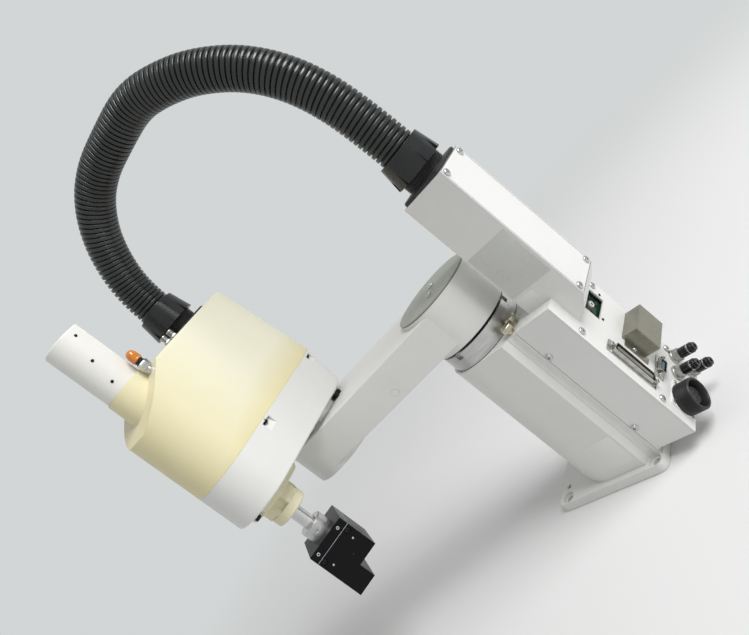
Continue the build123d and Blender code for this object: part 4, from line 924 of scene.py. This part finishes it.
DUCT_GLAND_PLACE = facing(Vector((DUCT_MID, 0, DUCT_TOP)), UP, LEFT)
ARM2_GLAND_PLACE = facing(on_arm2(ARM2_GLAND_STATION, 0, COVER_TOP), UP, ARM2_AHEAD)
make_gland("duct_gland_body", "duct_gland", DUCT_GLAND_PLACE, "base")
make_gland("arm2_gland_body", "arm2_gland", ARM2_GLAND_PLACE, "arm2")


# Arm 2: lamp, fittings, screws


def arm2_place(station, side, z, out=UP):
    return facing(on_arm2(station * MM, side * MM, z), out, ARM2_AHEAD)


def make_lamp():
    foot = arm2_place(112, 33, 473.2 * MM)
    bm = bmesh.new()
    lathe(bm, foot, ((4.5, -2), (4.5, 3.2), (4.1, 4.1)))
    hexagon(bm, foot, 6.5, 4, 12, 0.7)
    add_mesh("lamp_nut", bm, bright_steel, "arm2", "lamp_post")
    bm = bmesh.new()
    neck = ((4.4, 12), (5, 12.4), (5, 13.4), (4.5, 13.8), (4.5, 14.2), (5, 14.6), (5, 16))
    lathe(bm, foot, neck)
    add_mesh("lamp_neck", bm, black_gloss, "arm2")
    bm = bmesh.new()
    dome = ((5.3, 16), (6, 16.5), (6, 18), (5.8, 18.3), (5.9, 18.6), (5.95, 22), (5.6, 24.6))
    dome += ((4.9, 26.8), (3.7, 28.6), (2.2, 29.6), (0.8, 30))
    lathe(bm, foot, dome, 40)
    add_mesh("lamp_dome", bm, orange_lens, "arm2", "lamp_lens")


make_lamp()


def make_arm2_fittings():
    bm = bmesh.new()
    for station in (46, 58):
        place = arm2_place(station, 20, COVER_TOP)
        hexagon(bm, place, 4.8, 0, 5, 0.5)
        profile = [(1.5, 4.8), (3.6, 4.8)]
        for k in range(3):
            low = 5.4 + 2.1 * k
            profile += [(3.2, low), (3.2, low + 0.6), (3.8, low + 1.0), (3.8, low + 1.6)]
        profile += [(3.4, 12), (1.5, 12)]
        lathe(bm, place, profile, 28, closed=True)
    add_mesh("arm2_stubs", bm, tinned, "arm2", "arm2_fittings")


make_arm2_fittings()


def make_arm2_screws():
    """Cap screws in the casting's pockets and under its tip, and those of the tower."""
    pockets = [
        arm2_place(station, sign * side, 349 * MM, -UP)
        for station, side in ((-21, 54.6), (90, 48.4))
        for sign in (-1, 1)
    ]
    bm = socket_heads(pockets, 3.2, 5)
    add_mesh("seam_screws", bm, black_oxide, "arm2")
    tip = arm2_place(163, 8, ARM2_BOTTOM, -UP)
    bm = bmesh.new()
    lathe(bm, tip, ((5.2, 0), (5.2, 0.8), (4.9, 1)))
    add_mesh("tip_washer", bm, bright_steel, "arm2")
    tip_head = tip @ Matrix.Translation((0, 0, MM))
    add_mesh("tip_screw", socket_heads([tip_head], 3.8, 4), black_oxide, "arm2")
    places = []
    for degrees, z in ((88, 552), (62, 523), (50, 495)):
        angle = math.radians(degrees)
        out = math.cos(angle) * ARM2_AHEAD + math.sin(angle) * ARM2_LEFT
        places.append(facing(QUILL + TOWER_RADIUS * out + z * MM * UP, out))
    bm = pan_heads(places, 1.7, 0.9)
    add_mesh("tower_screws", bm, black_oxide, "arm2")


make_arm2_screws()


# Tool plate and block


def on_tool_front(across, z):
    """A place on the block's front face: across it from its middle, and up."""
    out = Vector((-math.sin(BLOCK_YAW), math.cos(BLOCK_YAW), 0))
    beside = Vector((math.cos(BLOCK_YAW), math.sin(BLOCK_YAW), 0))
    return facing(QUILL + BLOCK_FRONT * out + across * MM * beside + z * UP, out)


def make_tool_details():
    bm = bmesh.new()
    yaw = Vector((math.cos(BLOCK_YAW), math.sin(BLOCK_YAW), 0))
    seam = facing(QUILL + (PLATE_BOTTOM - 0.2 * MM) * UP, UP, yaw)
    plate(bm, seam, 58.25, 52.25, 0.3, 0.4, 0.05)
    add_mesh("tool_shim", bm, alloy, "quill")
    inset = Matrix.Translation((0, 0, -2 * MM))
    caps = [on_tool_front(side * 20, PLATE_BOTTOM - 4 * MM) @ inset for side in (-1, 1)]
    add_mesh("tool_cap_screws", socket_heads(caps, 3.4, 1.7), black_oxide, "quill")
    bm = bmesh.new()
    for side in (-1, 1):
        pin = on_tool_front(side * 17, PLATE_BOTTOM - 14 * MM)
        lathe(bm, pin, ((1.25, -2), (1.25, 0.3), (1.0, 0.6)), 20)
    add_mesh("tool_pins", bm, bright_steel, "quill")
    flush = Matrix.Translation((0, 0, -0.6 * MM))
    sets = [on_tool_front(across, PLATE_TOP - 5 * MM) @ flush for across in (-16, 17.5)]
    add_mesh("tool_set_screws", socket_heads(sets, 2, 0.9), bright_steel, "quill")


make_tool_details()


# Stage: a pale floor that fades into a backdrop of the same colour

AMBIENT = 0.38
BACKDROP = (0.65, 0.67, 0.67, 1)
FLOOR_RADIUS = 6.0
FLOOR_DROP = -0.0005
FLOOR_COLOUR = (0.86, 0.86, 0.86, 1)
FADE_START = 0.5
FADE_END = 1.6
MIDDLE = Vector((0.05, 0.05, 0.33))
KEY_PLACE = MIDDLE + Vector((-1.82, -0.26, 1.82))
KEY_SIZE = 1.5
KEY_POWER = 60


def make_world():
    """Even light, and a plain backdrop where the camera, gloss or glass sees it."""
    world = bpy.data.worlds.new("studio")
    bpy.context.scene.world = world
    world.use_nodes = True
    nodes, links = world.node_tree.nodes, world.node_tree.links
    nodes.clear()
    out = nodes.new("ShaderNodeOutputWorld")
    light = nodes.new("ShaderNodeBackground")
    light.inputs["Color"].default_value = (1, 1, 1, 1)
    light.inputs["Strength"].default_value = AMBIENT
    seen = nodes.new("ShaderNodeBackground")
    seen.inputs["Color"].default_value = BACKDROP
    path = nodes.new("ShaderNodeLightPath")
    shown = path.outputs["Is Camera Ray"]
    for ray in ("Is Glossy Ray", "Is Transmission Ray"):
        either = nodes.new("ShaderNodeMath")
        either.operation = "MAXIMUM"
        links.new(shown, either.inputs[0])
        links.new(path.outputs[ray], either.inputs[1])
        shown = either.outputs[0]
    mix = nodes.new("ShaderNodeMixShader")
    links.new(shown, mix.inputs["Fac"])
    links.new(light.outputs[0], mix.inputs[1])
    links.new(seen.outputs[0], mix.inputs[2])
    links.new(mix.outputs[0], out.inputs["Surface"])


def make_floor():
    bm = bmesh.new()
    bmesh.ops.create_circle(bm, cap_ends=True, radius=FLOOR_RADIUS, segments=96)
    mesh = bpy.data.meshes.new("floor")
    bm.to_mesh(mesh)
    bm.free()
    floor = bpy.data.objects.new("floor", mesh)
    floor.location = (0, 0, FLOOR_DROP)
    bpy.context.collection.objects.link(floor)
    paper = bpy.data.materials.new("paper")
    paper.use_nodes = True
    nodes, links = paper.node_tree.nodes, paper.node_tree.links
    surface = nodes["Principled BSDF"]
    surface.inputs["Base Color"].default_value = FLOOR_COLOUR
    surface.inputs["Roughness"].default_value = 0.8
    far = nodes.new("ShaderNodeEmission")
    far.inputs["Color"].default_value = BACKDROP
    coords = nodes.new("ShaderNodeTexCoord")
    reach = nodes.new("ShaderNodeVectorMath")
    reach.operation = "LENGTH"
    links.new(coords.outputs["Object"], reach.inputs[0])
    fade = nodes.new("ShaderNodeMapRange")
    fade.interpolation_type = "SMOOTHSTEP"
    fade.inputs["From Min"].default_value = FADE_START
    fade.inputs["From Max"].default_value = FADE_END
    links.new(reach.outputs["Value"], fade.inputs["Value"])
    mix = nodes.new("ShaderNodeMixShader")
    links.new(fade.outputs["Result"], mix.inputs["Fac"])
    links.new(surface.outputs[0], mix.inputs[1])
    links.new(far.outputs[0], mix.inputs[2])
    links.new(mix.outputs[0], nodes["Material Output"].inputs["Surface"])
    mesh.materials.append(paper)


def area_light(name, place, target, size, power):
    data = bpy.data.lights.new(name, "AREA")
    data.shape = "DISK"
    data.size = size
    data.energy = power
    lamp = bpy.data.objects.new(name, data)
    lamp.location = place
    lamp.rotation_euler = (target - place).to_track_quat("-Z", "Y").to_euler()
    bpy.context.collection.objects.link(lamp)


make_world()
make_floor()
area_light("key", KEY_PLACE, MIDDLE, KEY_SIZE, KEY_POWER)

bpy.context.scene.view_settings.view_transform = "Standard"
